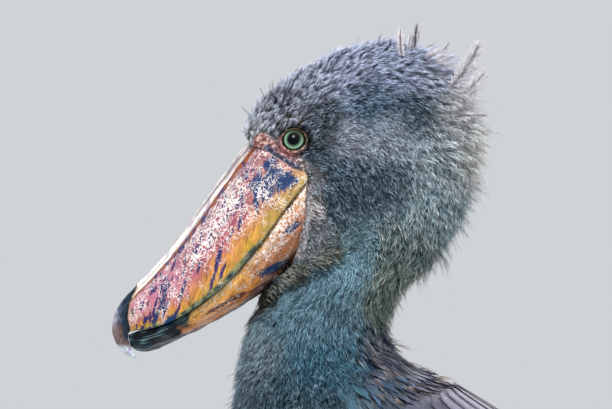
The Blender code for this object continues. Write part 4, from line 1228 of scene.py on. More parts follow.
def bill_finish(add, place):
    """A worn keratin sheath: satin, streaked along its growth, blotched with pigment and scuffed chalky."""
    hue, ink_hue = (add("Attribute", attribute_name=label) for label in ("hue", "ink_hue"))
    ink, chalk = (add("Attribute", attribute_name=label, output=2) for label in ("ink", "chalk"))
    upright = add("VectorRotate", place, named={"Angle": GROWTH_SLOPE}, rotation_type="Y_AXIS")
    growth = add("VectorMath", upright, (0.2, 1, 1), operation="MULTIPLY")
    coarse = add("TexNoise", growth, None, 1 / (4.5 * MM), 3.0, 0.65)
    fine = add("TexNoise", growth, None, 1 / (1.7 * MM), 3.0, 0.65)
    grit = add("TexNoise", place, None, 1 / (3.4 * MM), 2.0, 0.7)
    drift = add("TexNoise", place, None, 1 / (9 * MM), 2.0)

    # Growth lines darken and redden the horn, and purple pigment lies between them.
    streak = add("MapRange", fine, 0.34, 0.66, 1.28, 0.62)
    colour = add("VectorMath", hue, streak, operation="MULTIPLY")
    purple = add("MapRange", coarse, 0.53, 0.66, 0.0, 0.6)
    colour = add("Mix", purple, named={6: colour, 7: "b090c0"}, **RGBA, blend_type="MULTIPLY")

    # Pigment marks break up along their edges.
    rough_edge = ink
    for noise, weight in ((fine, 1.5), (grit, 0.9)):
        rough_edge = add("Math", noise, weight, rough_edge, operation="MULTIPLY_ADD")
    inked = add("MapRange", rough_edge, 1.56, 1.78, 0.0, 0.97)
    colour = add("Mix", inked, named={6: colour, 7: ink_hue}, **RGBA)

    # Scuffs are pale threads where the surface flakes, and flow together where it is chalkiest.
    off_middle = add("Math", add("Math", grit, 0.5, operation="SUBTRACT"), operation="ABSOLUTE")
    thread = chalk
    for part, weight in ((off_middle, -7.0), (drift, 0.7), (coarse, 0.5), (inked, -0.01)):
        thread = add("Math", part, weight, thread, operation="MULTIPLY_ADD")
    scuffed = add("MapRange", thread, 0.56, 0.68, 0.0, 0.9)
    colour = add("Mix", scuffed, named={6: colour, 7: "e9dfda"}, **RGBA)

    gloss = add("MapRange", scuffed, 0.0, 0.9, 0.4, 0.62)
    height = add("Math", scuffed, 0.5, coarse, operation="MULTIPLY_ADD")
    height = add("Math", fine, 0.6, height, operation="MULTIPLY_ADD")
    bump = add("Bump", named={"Height": height, "Strength": 0.6, "Distance": 0.5 * MM})
    return {"Base Color": colour, "Roughness": gloss, "Normal": bump, "IOR": 1.54, "Specular IOR Level": 0.2}


EYE_RINGS = 70
EYE_SIDES = 72


def make_eye(word, side):
    """One eyeball, with its distance from the line of sight kept for the iris, and a painted shadow of the
    upper lid over the top of the iris.
    """
    middle, back, up, out = eye_axes(side)
    centre = middle - out * EYE_DEPTH * MM
    turn = np.linspace(0.004, np.pi - 0.004, EYE_RINGS)
    slope, way = np.meshgrid(turn, full_turn(EYE_SIDES), indexing="ij")
    flat = np.sin(slope)[..., None] * (np.cos(way)[..., None] * back + np.sin(way)[..., None] * up)
    rings = centre + (flat + np.cos(slope)[..., None] * out) * EYE_RADIUS * MM
    radial = np.where(slope < np.pi / 2, np.sin(slope), 1)
    # shade holds a painted shadow of the upper lid, strongest over the top of the iris.
    shade = 0.85 * ease(-0.05, 0.52, np.sin(slope) * np.sin(way + 0.35))
    return loft_piece(f"{word}_eyeball", rings, radial=radial, shade=shade)


def eye_finish(add, place):
    """A wet cornea over a pale green iris: mirror-clear, so that the studio shows in it. The top of the iris
    is darkened by a painted shadow of the upper lid.
    """
    radial = add("Attribute", attribute_name="radial", output=2)
    threads = add("TexNoise", place, None, 1 / (1.2 * MM), 3.0)
    share = add("Math", threads, 0.06, radial, operation="MULTIPLY_ADD")
    share = add("Math", share, 0.03, operation="SUBTRACT")
    eyes = bpy.context.scene.shoebill_eyes
    pupil, iris = (radius / (EYE_RADIUS * MM) for radius in (eyes.pupil_radius, eyes.iris_radius))
    mint = np.array(eyes.iris_colour)
    # The dark ring just outside the iris is partly the iris's own dark rim and partly painted shadow of the
    # lids' margin.
    colour = add("ValToRGB", share, stops=(
        (0.0, "03060c"), (pupil - 0.04, "060a10"), (pupil + 0.02, mint * 0.2), (pupil + 0.1, mint * 0.7),
        (mix(pupil, iris, 0.7), mint), (iris - 0.05, mint * (1.25, 1.02, 0.8)), (iris - 0.012, mint * 0.4),
        (iris + 0.01, "0b1010"),
    ))
    # The painted shadow of the upper lid darkens the top of the iris.
    shade = add("Attribute", attribute_name="shade", output=2)
    colour = add("Mix", shade, named={6: colour, 7: "1c1810"}, **RGBA)
    return {
        "Base Color": colour, "Roughness": 0.3, "Specular IOR Level": 0.0, "Coat Weight": 0.25,
        "Coat Roughness": 0.02, "Coat IOR": 1.38,
    }


# The lids: gap from their inner edge, and height over the eyeball or, further out, over the skin.
LID_INNER = (9.9, 9.0)
LID_PROFILE = (
    (0.0, -0.6), (0.05, 0.1), (0.3, 0.45), (0.7, 0.6), (1.0, 0.45), (1.25, 0.2), (1.5, 0.3), (1.9, 0.5),
    (2.3, 0.35), (2.6, 0.1), (3.0, 0.0), (3.4, 0.1), (3.8, 0.0), (4.4, -0.4), (5.2, -1.2),
)
LID_SPREAD = (0.5, 1.0)
LID_SIDES = 144
# Colours of the lids by the gap from their inner edge. Their dark inner edge is partly the rim's own colour
# and partly painted shadow of the lid's margin.
UPPER_LID = (
    (0.0, "17110f"), (0.15, "241a12"), (0.3, "a8864e"), (0.5, "7c6040"), (0.7, "2e2422"), (1.2, "463c3a"),
    (2.4, "2c3038"),
)
LOWER_LID = (
    (0.0, "120c0b"), (0.2, "38211c"), (0.5, "a87c68"), (0.8, "c29c8c"), (1.1, "6e403a"), (1.6, "a08074"),
    (2.1, "6e4a4a"), (2.7, "5a4a4c"), (3.4, "6c5654"), (4.2, "4c464c"),
)


def make_lids(word, side, skin_tree):
    """The bare rim and its rings of wrinkled skin round one eye, laid on the skin of the head."""
    middle, back, up, out = eye_axes(side)
    way = full_turn(LID_SIDES)
    below = (1 - np.sin(way + 0.5)) / 2
    rings, gaps = [], []
    for plain_gap, rise in LID_PROFILE:
        gap = plain_gap * mix(*LID_SPREAD, below)
        reach_x, reach_z = (LID_INNER[0] + gap) * np.cos(way), (LID_INNER[1] + gap) * np.sin(way)
        radius = np.hypot(reach_x, reach_z)
        ball = np.sqrt(np.maximum(EYE_RADIUS**2 - np.minimum(radius, 12.5) ** 2, 0)) - EYE_DEPTH
        flat = middle + (reach_x[:, None] * back + reach_z[:, None] * up) * MM
        ground = []
        for start in flat:
            hit = skin_tree.ray_cast(Vector(start + out * 30 * MM), Vector(-out), 60 * MM)
            ground.append(((np.array(hit[0]) - start) @ out) / MM if hit[0] else -3.0)
        beads = 0.35 * np.sin(way * 28 + plain_gap * 2.1) * np.sin(way * 11) * ease(0.2, 0.6, plain_gap)
        height = mix(np.maximum(ball, -0.4), np.array(ground) + 0.2, ease(1.6, 4.6, plain_gap)) + rise + beads
        rings.append(flat + (out * height[:, None]) * MM)
        gaps.append(gap)
    rings = [rings[0] - out * 4 * MM, *rings, rings[-1] - out * 4 * MM]
    gaps = np.array([gaps[0], *gaps, gaps[-1]])
    share = np.broadcast_to(ease(0.3, 0.7, below), gaps.shape)
    hue = tint(shade_between(UPPER_LID, gaps), shade_between(LOWER_LID, gaps), share)
    ahead = tint(shade_between(FLESH, -12), shade_between(FLESH, 8), ease(-0.4, 0.7, np.cos(way)))
    hue = tint(hue, tint(linear("232a34"), ahead, share), ease(0.7, 1.7, gaps))
    count = len(rings)
    closing = grid_faces(2, LID_SIDES)
    closing = np.where(closing >= LID_SIDES, closing - LID_SIDES, closing + (count - 1) * LID_SIDES)
    quads = np.concatenate([grid_faces(count, LID_SIDES), closing])
    points = np.array(rings).reshape(-1, 3)
    return face_out(make_mesh(f"{word}_eyelids", points, quads, labels={"hue": hue.reshape(-1, 3)}))


def lid_finish(add, place):
    """Eyelid skin: moist, beaded along the rim and mottled."""
    hue = add("Attribute", attribute_name="hue")
    blotch = add("TexNoise", place, None, 1 / (2.2 * MM), 1.0, 0.7)
    level = add("MapRange", blotch, 0.4, 0.6, 0.3, 1.6)
    colour = add("VectorMath", hue, level, operation="MULTIPLY")
    bump = add("Bump", named={"Height": blotch, "Strength": 0.7, "Distance": 0.5 * MM})
    return {"Base Color": colour, "Normal": bump, "Roughness": 0.38, "Specular IOR Level": 0.3}


# How wide a feather is along its length, as shares of its half width.
VANE_WIDTHS = ((0, 0.4), (0.12, 0.8), (0.35, 1.0), (0.78, 0.96), (0.9, 0.74), (0.97, 0.42), (1, 0.14))
LANCE_WIDTHS = ((0, 0.4), (0.15, 0.85), (0.4, 1.0), (0.65, 0.82), (0.85, 0.45), (1, 0.06))


VANE_THICK = 0.45
# Shares that the sizes of contour feathers and of wing feathers are drawn between.
FEATHER_SIZES, QUILL_SIZES = (0.85, 1.15), (0.94, 1.06)
# How far a vane's edges lag behind its shaft, as a share of its length.
VANE_LAG = 0.12


def vane_points(surface, start, end, lifts, half, draw, rings, camber, sides=5, tilt=0.0, notch=0.3,
                widths=LANCE_WIDTHS, curl=0.0):
    """Points of many feathers laid on a surface, as feathers by rings by sides, with their undersides, and
    each point's share across and along. start and end hold place and angle, lifts the height at each."""
    share = np.linspace(0, 1, rings) ** 0.85
    ends = (*zip(start, end), lifts)
    place, angle, lift = (mix(first[:, None], last[:, None], share) for first, last in ends)
    reach = np.linalg.norm(out_of(surface, place, angle)[1], axis=-1) / MM
    across = np.linspace(-1, 1, sides)
    ragged = 1 - notch * draw.random((*place.shape, sides)) ** 2 * np.abs(across) ** 2
    full = along_table(widths, share)
    turn = (half[:, None] * full / reach)[..., None] * across * ragged
    roof = lift[..., None] + tilt * across + camber * (1 - across**2) * full[:, None]
    roof = roof + (curl * share**3)[:, None] + VANE_THICK
    lag = np.abs(across) ** 2 * VANE_LAG * (end[0] - start[0])[:, None, None] * share[:, None]
    top = surface(place[..., None] - lag, angle[..., None] + turn, roof)
    under = surface(place, angle, lift + camber * 0.5)
    return top, under, np.broadcast_to(across, roof.shape), np.broadcast_to(share[:, None], roof.shape)


def vane_faces(count, rings, sides):
    """Quads and triangles of closed feathers whose points are all tops, then all undersides."""
    ring, side = np.meshgrid(np.arange(rings - 1), np.arange(sides - 1), indexing="ij")
    top = (ring * sides + side).ravel()
    low = rings * sides + np.arange(rings - 1)
    left = np.arange(rings - 1) * sides
    quads = np.concatenate([
        np.stack([top, top + sides, top + sides + 1, top + 1], axis=-1),
        np.stack([left, low, low + 1, left + sides], axis=-1),
        np.stack([low, left + sides - 1, left + 2 * sides - 1, low + 1], axis=-1),
    ])
    start = np.arange(sides - 1)
    last = (rings - 1) * sides + start
    tris = np.concatenate([
        np.stack([np.full(sides - 1, rings * sides), start, start + 1], axis=-1),
        np.stack([np.full(sides - 1, rings * sides + rings - 1), last + 1, last], axis=-1),
    ])
    shift = (np.arange(count) * rings * (sides + 1))[:, None, None]
    return (quads + shift).reshape(-1, 4), (tris + shift).reshape(-1, 3)


def with_underside(tops, unders):
    """Values at each feather's top points and then along its underside, as feathers by points by values."""
    unders = unders.reshape(*unders.shape[:2], -1)
    return np.concatenate([tops.reshape(len(tops), -1, unders.shape[-1]), unders], axis=1)


def vane_piece(name, parcels, patch_size=PATCH):
    """One mesh of feathers from parcels of points, shades and map places."""
    parts = {}
    total = 0
    for (top, under, across, along), dark, light, tone, patch, half, length in parcels:
        count, rings, sides = across.shape
        quads, tris = vane_faces(count, rings, sides)
        pale = np.clip(tone[:, None, None] * 0.7 + 0.42 * np.abs(across) ** 3 + 0.2 * along**3 - 0.18, 0, 1.2)
        hue = mix(dark[:, None, None], light[:, None, None], pale[..., None])
        shaft = np.zeros((count, rings))
        barb = along * length[:, None, None] - np.abs(across) * half[:, None, None] * 1.2
        spots = np.stack([across / 2, along - 0.5], axis=-1)
        shaft_spots = np.stack([shaft, along[..., 0] - 0.5], axis=-1)
        found = {
            "points": with_underside(top, under),
            "quads": quads + total,
            "tris": tris + total,
            "patches": patch[:, None] + with_underside(spots, shaft_spots) * patch_size,
            "hue": with_underside(hue, mix(dark, light, 0.3)[:, None] * np.ones((1, rings, 1))),
            "across": with_underside(across, shaft),
            "barb": with_underside(barb, along[..., 0] * length[:, None]),
        }
        for key, values in found.items():
            parts.setdefault(key, []).append(values.reshape(-1, values.shape[-1]))
        total += count * rings * (sides + 1)
    points, quads, tris, patches, *values = (np.concatenate(part).squeeze() for part in parts.values())
    return make_mesh(name, points, quads, tris, patches, dict(zip(("hue", "across", "barb"), values)))


# Where the rows of a lattice are stepped off along a surface, as an angle round it.
ROW_ANGLE = 1.6


def lattice(surface, first, last, low, high, step, gap, draw):
    """Feather roots in staggered rows over a surface, step apart along it and gap round it, in mm."""
    fine = np.linspace(first, last, 400)
    way = length_along(surface(fine, ROW_ANGLE)) / MM
    rows = np.interp(np.arange(step / 2, way[-1], step), way, fine)
    turn = np.linspace(low, high, 181)
    places, angles = [], []
    for number, place in enumerate(rows):
        round_it = length_along(surface(place, turn)) / MM
        count = max(int(round_it[-1] / gap), 1)
        spots = (np.arange(count) + 0.25 + 0.5 * (number % 2)) * round_it[-1] / count
        angles.append(np.interp(spots, round_it, turn))
        places.append(np.full(count, place))
    places, angles = np.concatenate(places), np.concatenate(angles)
    slip = np.interp(places, rows, np.gradient(rows))
    places = places + draw.normal(0, 0.16, len(places)) * slip
    return places, angles + draw.normal(0, 0.012, len(angles))


def reach_along(surface, place, angle, length):
    """The place that lies a length in millimetres further along a surface."""
    along = np.linalg.norm(out_of(surface, place, angle)[0], axis=-1) / MM
    half_way = place + length / along / 2
    return place + length * MM / np.linalg.norm(out_of(surface, half_way, angle)[0], axis=-1)


def feather_parcel(surface, place, angle, end, end_angle, lifts, half, draw, **shape):
    """Points, colours and map places of feathers that lie on a surface from one place to another."""
    found = vane_points(surface, (place, angle), (end, end_angle), lifts, half, draw, **shape)
    root = surface(place, angle)
    mean = zone_colour(root)
    tone = np.clip(draw.normal(0.5, 0.22, len(place)), 0, 1)
    length = np.linalg.norm(surface(end, end_angle) - root, axis=-1) / MM
    return found, mean * 0.55, mean * 1.7, tone, map_place(place, angle), half, length


# Feathers of the trunk by stretch: places, angles down from the back, row step, gap, length, half width.
TRUNK_FEATHERS = {
    "breast": (12.9, 17.2, 78, 282, 10, 9, 30, 6.5),
    "belly": (17.2, 21.4, 84, 276, 13, 11, 34, 8.0),
    "rump": (20.2, 23.0, -96, 96, 10, 11, 36, 8.5),
    "mantle": (12.3, 14.7, -80, 80, 8, 7.5, 34, 4.6),
    "spine": (14.4, 20.6, -16, 16, 12, 9, 34, 7.0),
}
# How high their roots and tips lie.
TRUNK_LIFT = {
    "breast": (-6.5, 0.6), "belly": (-6.5, 0.6), "rump": (-5, 2.0), "mantle": (-4, 4.5), "spine": (-5, 4.0),
}
# How far feathers sink towards the root of the tail.
TAIL_SINK = 30


def wing_edge(place):
    """How far down the side the folded wing reaches, as an angle."""
    return np.radians(np.interp(place, (13.8, 14.4, 15.2, 21, 23), (30, 84, 100, 92, 60)))


def under_wing(place, angle):
    """Where a wing hides the trunk well inside its edges."""
    turn = np.abs((angle + np.pi) % (2 * np.pi) - np.pi)
    return (place > 14.7) & (place < 21.5) & (turn > np.radians(14)) & (turn < wing_edge(place) - 0.12)


def make_trunk_feathers(name):
    """The contour feathers of one stretch of the trunk."""
    first, last, low, high, step, gap, length, half = TRUNK_FEATHERS[name]
    draw = np.random.default_rng(SEEDS["trunk"] + list(TRUNK_FEATHERS).index(name))
    place, angle = lattice(body_surface, first, last, np.radians(low), np.radians(high), step, gap, draw)
    seen = ~under_wing(place, angle)
    place, angle = place[seen], angle[seen]
    count = len(place)
    end = reach_along(body_surface, place, angle, length * draw.uniform(*FEATHER_SIZES, count))
    aside = np.sin(angle) * draw.normal(0.05, 0.05, count)
    low_lift, high_lift = TRUNK_LIFT[name]
    sunk = TAIL_SINK * ease(21.8, 23.4, np.stack([place, end]))
    lifts = (low_lift - sunk[0], high_lift + draw.normal(0, 0.8, count) - sunk[1])
    widths = LANCE_WIDTHS if name in ("breast", "mantle") else VANE_WIDTHS
    half = half * draw.uniform(*FEATHER_SIZES, count)
    parcel = feather_parcel(
        body_surface, place, angle, end, angle + aside, lifts, half, draw, rings=8, camber=1.2, widths=widths,
        curl=0.6,
    )
    return vane_piece(f"{name}_feathers", [parcel])


THIGH_STEP, THIGH_GAP, THIGH_FEATHER, THIGH_HALF = 9, 8, 26, 5.5
# How far down the thigh its last feathers reach, as a share of it.
THIGH_LAST = 1.035


def mirrored(piece, side):
    """Turns the faces outward of a piece that is built as its own mirror image on the left."""
    if side < 0:
        piece.data.flip_normals()
    return piece


def make_thigh_feathers(word, side):
    """The loose feathers of one upper leg, down to the bare shin."""
    surface = partial(thigh_surface, side)
    draw = np.random.default_rng(SEEDS["thighs"] + side)
    place, angle = lattice(surface, 0.1, 0.985, 0, 2 * np.pi, THIGH_STEP, THIGH_GAP, draw)
    count = len(place)
    end = reach_along(surface, place, angle, THIGH_FEATHER * draw.uniform(0.85, 1.1, count))
    end = np.minimum(end, THIGH_LAST)
    lifts = (np.full(count, -4.0), draw.normal(0.4, 0.6, count))
    half = THIGH_HALF * draw.uniform(*FEATHER_SIZES, count)
    parcel = feather_parcel(surface, place, angle, end, angle, lifts, half, draw, rings=7, camber=0.9)
    return mirrored(vane_piece(f"{word}_thigh_feathers", [parcel]), side)


# The folded wing under its feathers: place along the trunk and its depth.
WING_BULK = (
    (13.7, 0), (14.1, 9), (14.6, 15.5), (15.3, 15.5), (16.4, 12.5), (17.7, 9.5), (18.6, 6.2), (19.7, 2.8),
    (20.2, 0),
)
# How much of a lift counts, by the angle down from the back in degrees.
WING_EASE = ((0, 0.42), (8, 0.48), (42, 1.0), (180, 1.0))
WING_ARC = (5, 108)
WING_SUNK = 5.0
# Where the two wings meet over the back.
WING_MEET = np.radians(-0.8)
# How far one edge of a feather lies over the next.
SHINGLE = 1.6
# Rows, feathers a row, places of the first and last row's roots, how far the tips lie behind them, angles
# at roots and at tips, lifts at roots and tips for the first and the last row, and half width.
WING_TIERS = {
    "primary": (1, 6, 19.7, 19.7, 4.2, (50, 84), (41, 68), (2.2, 6.2), (2.2, 6.2), 13),
    "secondary": (1, 12, 18.6, 18.6, 3.7, (36, 95), (38, 93), (5.7, 10.7), (5.7, 10.7), 14.5),
    "greater": (1, 13, 17.7, 17.7, 2.7, (36, 95), (33, 97), (9.1, 12.2), (9.1, 12.2), 12),
    "tertial": (1, 5, 16.45, 16.45, 5.7, (7, 30), (8, 43), (12.6, 13.6), (12.6, 13.6), 17),
    "median": (2, 12, 16.4, 17.1, 1.9, (44, 96), (42, 97), (13.6, 14.4), (12.4, 13.6), 11),
    "lesser": (6, 13, 14.45, 16.2, 1.2, (48, 98), (48, 98), (15.4, 16.8), (14.2, 15.6), 9.5),
    "scapular": (6, 8, 14.1, 16.5, 1.9, (4, 47), (5, 47), (17.8, 19.6), (16.6, 18.4), 12.5),
}
# How much shorter each feather is than the one above it, for the rows where it is.
WING_SLANT = {"greater": 0.03, "secondary": 0.06, "primary": 0.2}
WING_RINGS = {"primary": 22, "secondary": 22, "tertial": 22, "greater": 22}


def wing_surface(side, place, angle, lift=0.0):
    """The trunk's surface on one side, where a lift fades towards the middle of the back."""
    angle = np.maximum(angle, WING_MEET)
    return body_surface(place, side * angle, lift * along_table(WING_EASE, np.degrees(angle)))


def make_wing_arm(word, side):
    """The wing's own bulk under its feathers."""
    low, high = np.radians(WING_ARC)
    turn = np.linspace(low, high, 48)
    rounding = np.sqrt(np.clip(1 - ((turn - (low + high) / 2) / ((high - low) / 2)) ** 8, 0, 1))
    rings = []
    for place in np.linspace(WING_BULK[0][0], WING_BULK[-1][0], 60):
        outer = wing_surface(side, place, turn, along_table(WING_BULK, place) * rounding)
        rings.append(np.concatenate([outer, wing_surface(side, place, turn[::-1], -WING_SUNK)]))
    rings = np.array(rings)
    return loft_piece(f"{word}_wing_arm", rings, hue=zone_colour(rings))


def make_wing_feathers(word, side):
    """Flight feathers, coverts and scapulars of one folded wing, each row shingled over the next."""
    draw = np.random.default_rng(SEEDS["wings"] + side)
    parcels = []
    for name, tier in WING_TIERS.items():
        rows, count, *places, back, at_root, at_tip, first_lift, last_lift, half = tier
        for row in range(rows):
            share = row / max(rows - 1, 1)
            number = np.arange(count) + 0.5 * (row % 2)
            spread = number / (count - 1)
            angle, end_angle = (np.radians(mix(*ends, spread)) for ends in (at_root, at_tip))
            place = np.full(count, mix(*places, share)) + draw.normal(0, 0.03, count)
            end = place + back + draw.normal(0, 0.06, count) - WING_SLANT.get(name, 0) * number
            lifts = [mix(*ends, share) + draw.normal(0, 0.15, count) for ends in zip(first_lift, last_lift)]
            width = half * draw.uniform(*QUILL_SIZES, count)
            parcels.append(feather_parcel(
                partial(wing_surface, side), place, angle, end, end_angle, lifts, width, draw,
                rings=WING_RINGS.get(name, 12), camber=0.7, sides=7, tilt=SHINGLE, notch=0.08,
                widths=VANE_WIDTHS,
            ))
    return mirrored(vane_piece(f"{word}_wing_feathers", parcels, QUILL_PATCH), side)


QUILL_START, QUILL_END = 22.15, 24
TAIL_PAIRS, TAIL_LENGTH, TAIL_SHORTER, TAIL_HALF = 6, 232, 4, 17
TAIL_FAN = np.radians(2.6)
TAIL_LAYER = 1.1
TAIL_SHADES = ("39434d", "77828c")
# How far aside the first pair's roots lie, and how much further the next pair's each time.
QUILL_ASIDE = (2.5, 4.2)
QUILL_WIDTHS = ((0, 0.33), (0.3, 0.95), (0.6, 1.0), (0.92, 0.98), (0.975, 0.86), (1, 0.55))


def body_middle(place):
    """The middle of a section of the body, in metres."""
    row = smooth_rows(BODY, place)
    return (at_eye(row[0], 0, row[1]) + at_eye(row[2], 0, row[3])) / 2


def make_tail():
    """Twelve tail feathers in one closed fan, the middle pair on top."""
    start = body_middle(QUILL_START)
    along = unit(body_middle(QUILL_END) - start)
    up = np.array([-along[2], 0, along[0]])
    draw = np.random.default_rng(SEEDS["tail"])
    across, share = np.meshgrid(np.linspace(-1, 1, 9), np.linspace(0, 1, 26))
    full = along_table(QUILL_WIDTHS, share)
    arch = 0.35 * (1 - across**2) * full + 0.2
    lag = 7 * across**2 * share**6
    dark, light = (linear(shade)[None] for shade in TAIL_SHADES)
    parcels = []
    for pair in range(TAIL_PAIRS):
        for side in SIDES.values():
            level = (2 * pair + (side > 0) - TAIL_PAIRS) * TAIL_LAYER
            fan = side * TAIL_FAN * (pair + 0.4)
            heading = along * np.cos(fan) + np.cross(up, along) * np.sin(fan)
            length = TAIL_LENGTH - TAIL_SHORTER * pair
            middle = start + heading * (share[:, :1] * length * MM) - up * level * MM
            middle[:, 1] += side * (QUILL_ASIDE[0] + QUILL_ASIDE[1] * pair) * MM
            width = TAIL_HALF * full * across * (1 - 0.06 * draw.random(full.shape) ** 2 * np.abs(across))
            top = middle[:, None]
            for way, reach in ((unit(np.cross(up, heading)), width), (up, arch), (-heading, lag)):
                top = top + way * (reach * MM)[..., None]
            shape = [values[None] for values in (top, middle - up * 0.15 * MM, across, share)]
            tone = np.array([draw.uniform(0.3, 0.6)])
            patch = np.array([[0.75 + 0.02 * pair + 0.1 * (side > 0), 0.1]])
            parcels.append((shape, dark, light, tone, patch, np.array([TAIL_HALF]), np.array([length])))
    return vane_piece("tail_feathers", parcels, QUILL_PATCH)


# Upright feathers behind the crown, seen from the side: root and tip, how far the middle bows forward,
# side of the head, longest barb, count of barbs, how dark the shaft is and how pale the barbs.
CREST = (
    ((91, 60), (87.7, 91.8), 1.0, -1, 6.5, 260, 0.5, 0.95),
    ((92.7, 68), (95.9, 87), -0.8, -1, 5, 100, 0.2, 0.9),
    ((104, 68), (101.7, 96), 1.2, -1, 6.5, 180, 1.0, 0.5),
    ((79.5, 74), (79.5, 83.6), 0.4, -1, 3.4, 70, 0.8, 0.2),
    ((106, 66), (124, 70), 3.5, -1, 12, 110, 0.1, 1.0),
    ((109, 64), (128, 60), 4.5, -1, 12, 110, 0.1, 0.95),
    ((112, 58), (124, 50), 3.0, -1, 10, 80, 0.1, 0.9),
    ((121, 34), (152.5, 78.7), -2.5, -1, 15, 260, 1.2, 0.75),
    ((124.6, 29.5), (157.4, 56), -3.0, -1, 13, 200, 0.4, 0.9),
    ((128, 24), (150, 42), -2.0, -1, 11, 130, 0.0, 0.95),
    ((122, 18), (159, 20.5), 1.5, -1, 7, 190, 1.0, 0.85),
    ((115, 40), (121.4, 43.5), 0.5, -1, 2.0, 24, 1.0, 0.1),
    ((98, 74), (104, 91), 1.0, 1, 3.5, 80, 0.6, 0.7),
    ((112, 64), (129, 82), -1.5, 1, 5.5, 110, 0.5, 0.8),
    ((120, 50), (148, 62), -2.0, 1, 6.5, 130, 0.7, 0.8),
    ((126, 33), (150, 38), 1.0, 1, 6, 110, 0.3, 0.9),
)
CREST_ROOT = 7
CREST_ASIDE = 0.82
CREST_STEPS = 25
BARB_LENGTH = ((0, 0.35), (0.2, 0.7), (0.55, 1.0), (0.85, 0.75), (1, 0.3))
BARB_HALF = 0.2
SHAFT_HALF = (0.65, 0.25)
SHAFT_PIECES = 8
CREST_DARK, CREST_PALE = "3c4862", "e4dde2"


def on_the_body(x, z, side):
    """The place and angle of the body's outline that is seen at x and z from one side."""
    place, angle = np.meshgrid(np.arange(0.5, 11, 0.1), np.radians(np.arange(0, 180, 2)), indexing="ij")
    spot = from_eye(body_surface(place, side * angle))
    best = np.argmin(np.hypot(spot[..., 0] - x, spot[..., 2] - z))
    return place.ravel()[best], side * angle.ravel()[best]


def crest_line(root, tip, bow, side):
    """Points along one crest feather's shaft in metres, and the ways along and across it."""
    place, angle = on_the_body(*root, side)
    base = body_surface(place, angle, -CREST_ROOT)
    aside = base[1] / MM
    end = at_eye(tip[0], aside * CREST_ASIDE, tip[1])
    share = np.linspace(0, 1, CREST_STEPS)[:, None]
    way = unit(end - base)
    bowed = unit(np.cross((0, 1, 0), way))
    line = mix(base, end, share) - bowed * (4 * share * (1 - share)) * bow * MM
    ahead = unit(np.gradient(line, axis=0))
    return line, ahead, unit(np.cross(ahead, (0, 1, 0.25)))


def crest_plume(row, draw):
    """Points and shades of one crest feather: barbs parted on both sides of a fine shaft."""
    root, tip, bow, side, longest, count, darkness, paleness = row
    line, heading, across = crest_line(root, tip, bow, side)
    share = np.linspace(0.14, 0.99, count) + draw.normal(0, 0.004, count)
    hand = np.where(np.arange(count) % 2, 1, -1)
    start, ahead, broad = (read_line(values, share) for values in (line, heading, across))
    out = unit(np.cross(broad, ahead))
    spread = np.radians(draw.normal(40, 6, count)) * (1 - 0.5 * share**2)
    way = ahead * np.cos(spread)[:, None] + broad * (hand * np.sin(spread))[:, None]
    size = longest * along_table(BARB_LENGTH, share) * draw.uniform(*BARB_LENGTHS, count) * MM
    size = size[:, None]
    droop = out * draw.normal(0, 0.16, (count, 1)) + ahead * draw.uniform(-0.1, 0.35, (count, 1))
    barbs = np.stack([start, start + way * size * 0.5, start + (way + droop) * size], axis=1)
    points = strand_points(barbs, unit(np.cross(way, out)), out, np.full(count, BARB_HALF))
    tone = np.clip(paleness + draw.normal(0, 0.2, count), 0, 1)
    dark, light = linear(CREST_DARK), linear(CREST_PALE)
    shades = [tint(dark, light, np.clip(tone + extra, 0, 1)) for extra in (-0.25, 0, 0.2)]
    cuts = np.linspace(0, 1, SHAFT_PIECES + 1)
    starts, ends = read_line(line, cuts[:-1]), read_line(line, np.minimum(cuts[1:] + 0.03, 1))
    ways = unit(ends - starts)
    faces = unit(np.cross(read_line(across, cuts[:-1]), ways))
    width = mix(*SHAFT_HALF, cuts[:-1]) * mix(0.6, 1, darkness)
    quill = np.stack([starts, (starts + ends) / 2, ends], axis=1)
    quill = strand_points(quill, unit(np.cross(ways, faces)), faces, width)
    quill_shade = np.tile(mix(light, dark * 0.5, darkness), (SHAFT_PIECES, 3, 1))
    return np.concatenate([points, quill]), np.concatenate([np.stack(shades, axis=1), quill_shade])


def make_crest():
    """Loose plumes behind the crown."""
    draw = np.random.default_rng(SEEDS["crest"])
    parts = []
    for row in CREST:
        points, shades = crest_plume(row, draw)
        patches = map_place(*on_the_body(*row[0], row[3])) + draw.uniform(-PATCH, PATCH, (len(points), 2))
        parts.append((points, patches, shades))
    return strand_piece("crest", *(np.concatenate(part) for part in zip(*parts)))


ANKLE, FOOT = (186, 68, -808), (152, 71, -1056)
FOOT_STAGGER = {"left": -16, "right": 16}
# How far the shin reaches up into the feathers, and how far down from them it still runs straight.
SHIN_HIDDEN, SHIN_STRAIGHT = 12, 12
SHIN = ((0, 11.5), (0.4, 10.6), (0.7, 11), (0.84, 13.6), (0.94, 15.3), (1, 15.3))
TARSUS = (
    (0.03, 15.2), (0.09, 14.6), (0.15, 12.2), (0.24, 10.4), (0.6, 8.7), (0.88, 9.6), (1, 11), (1.04, 11),
)
PALM_HALF = (27, 25, 16)
PALM_HEIGHT = 12
# Heading away from straight ahead and place aside, both towards the outside of the bird, then length,
# root radius and count of joints.
TOES = {
    "inner": (-23, -10, 118, 7.2, 2),
    "middle": (2, 0, 148, 7.6, 3),
    "outer": (28, 10, 124, 7.2, 4),
    "hind": (172, 0, 78, 7.2, 1),
}
TOE_START, TOE_TAPER, JOINT_SWELL, TOE_SQUASH, SOLE_SHAVED = 12, 0.34, 0.11, 0.86, 0.6
# Where a toe's end starts to round, and over how much of its length.
TOE_ROUNDING = (0.94, 0.075)
CLAW_LENGTH, CLAW_RADIUS, CLAW_SLIM, CLAW_TAPER, CLAW_HEIGHT, CLAW_TIP_HEIGHT = 25, 4.2, 0.8, 0.88, 4.8, 1.0
FLOOR = -EYE[2] / MM
LEG_GRAIN = 1.25 * MM
SCALE_SIZE = 4.6


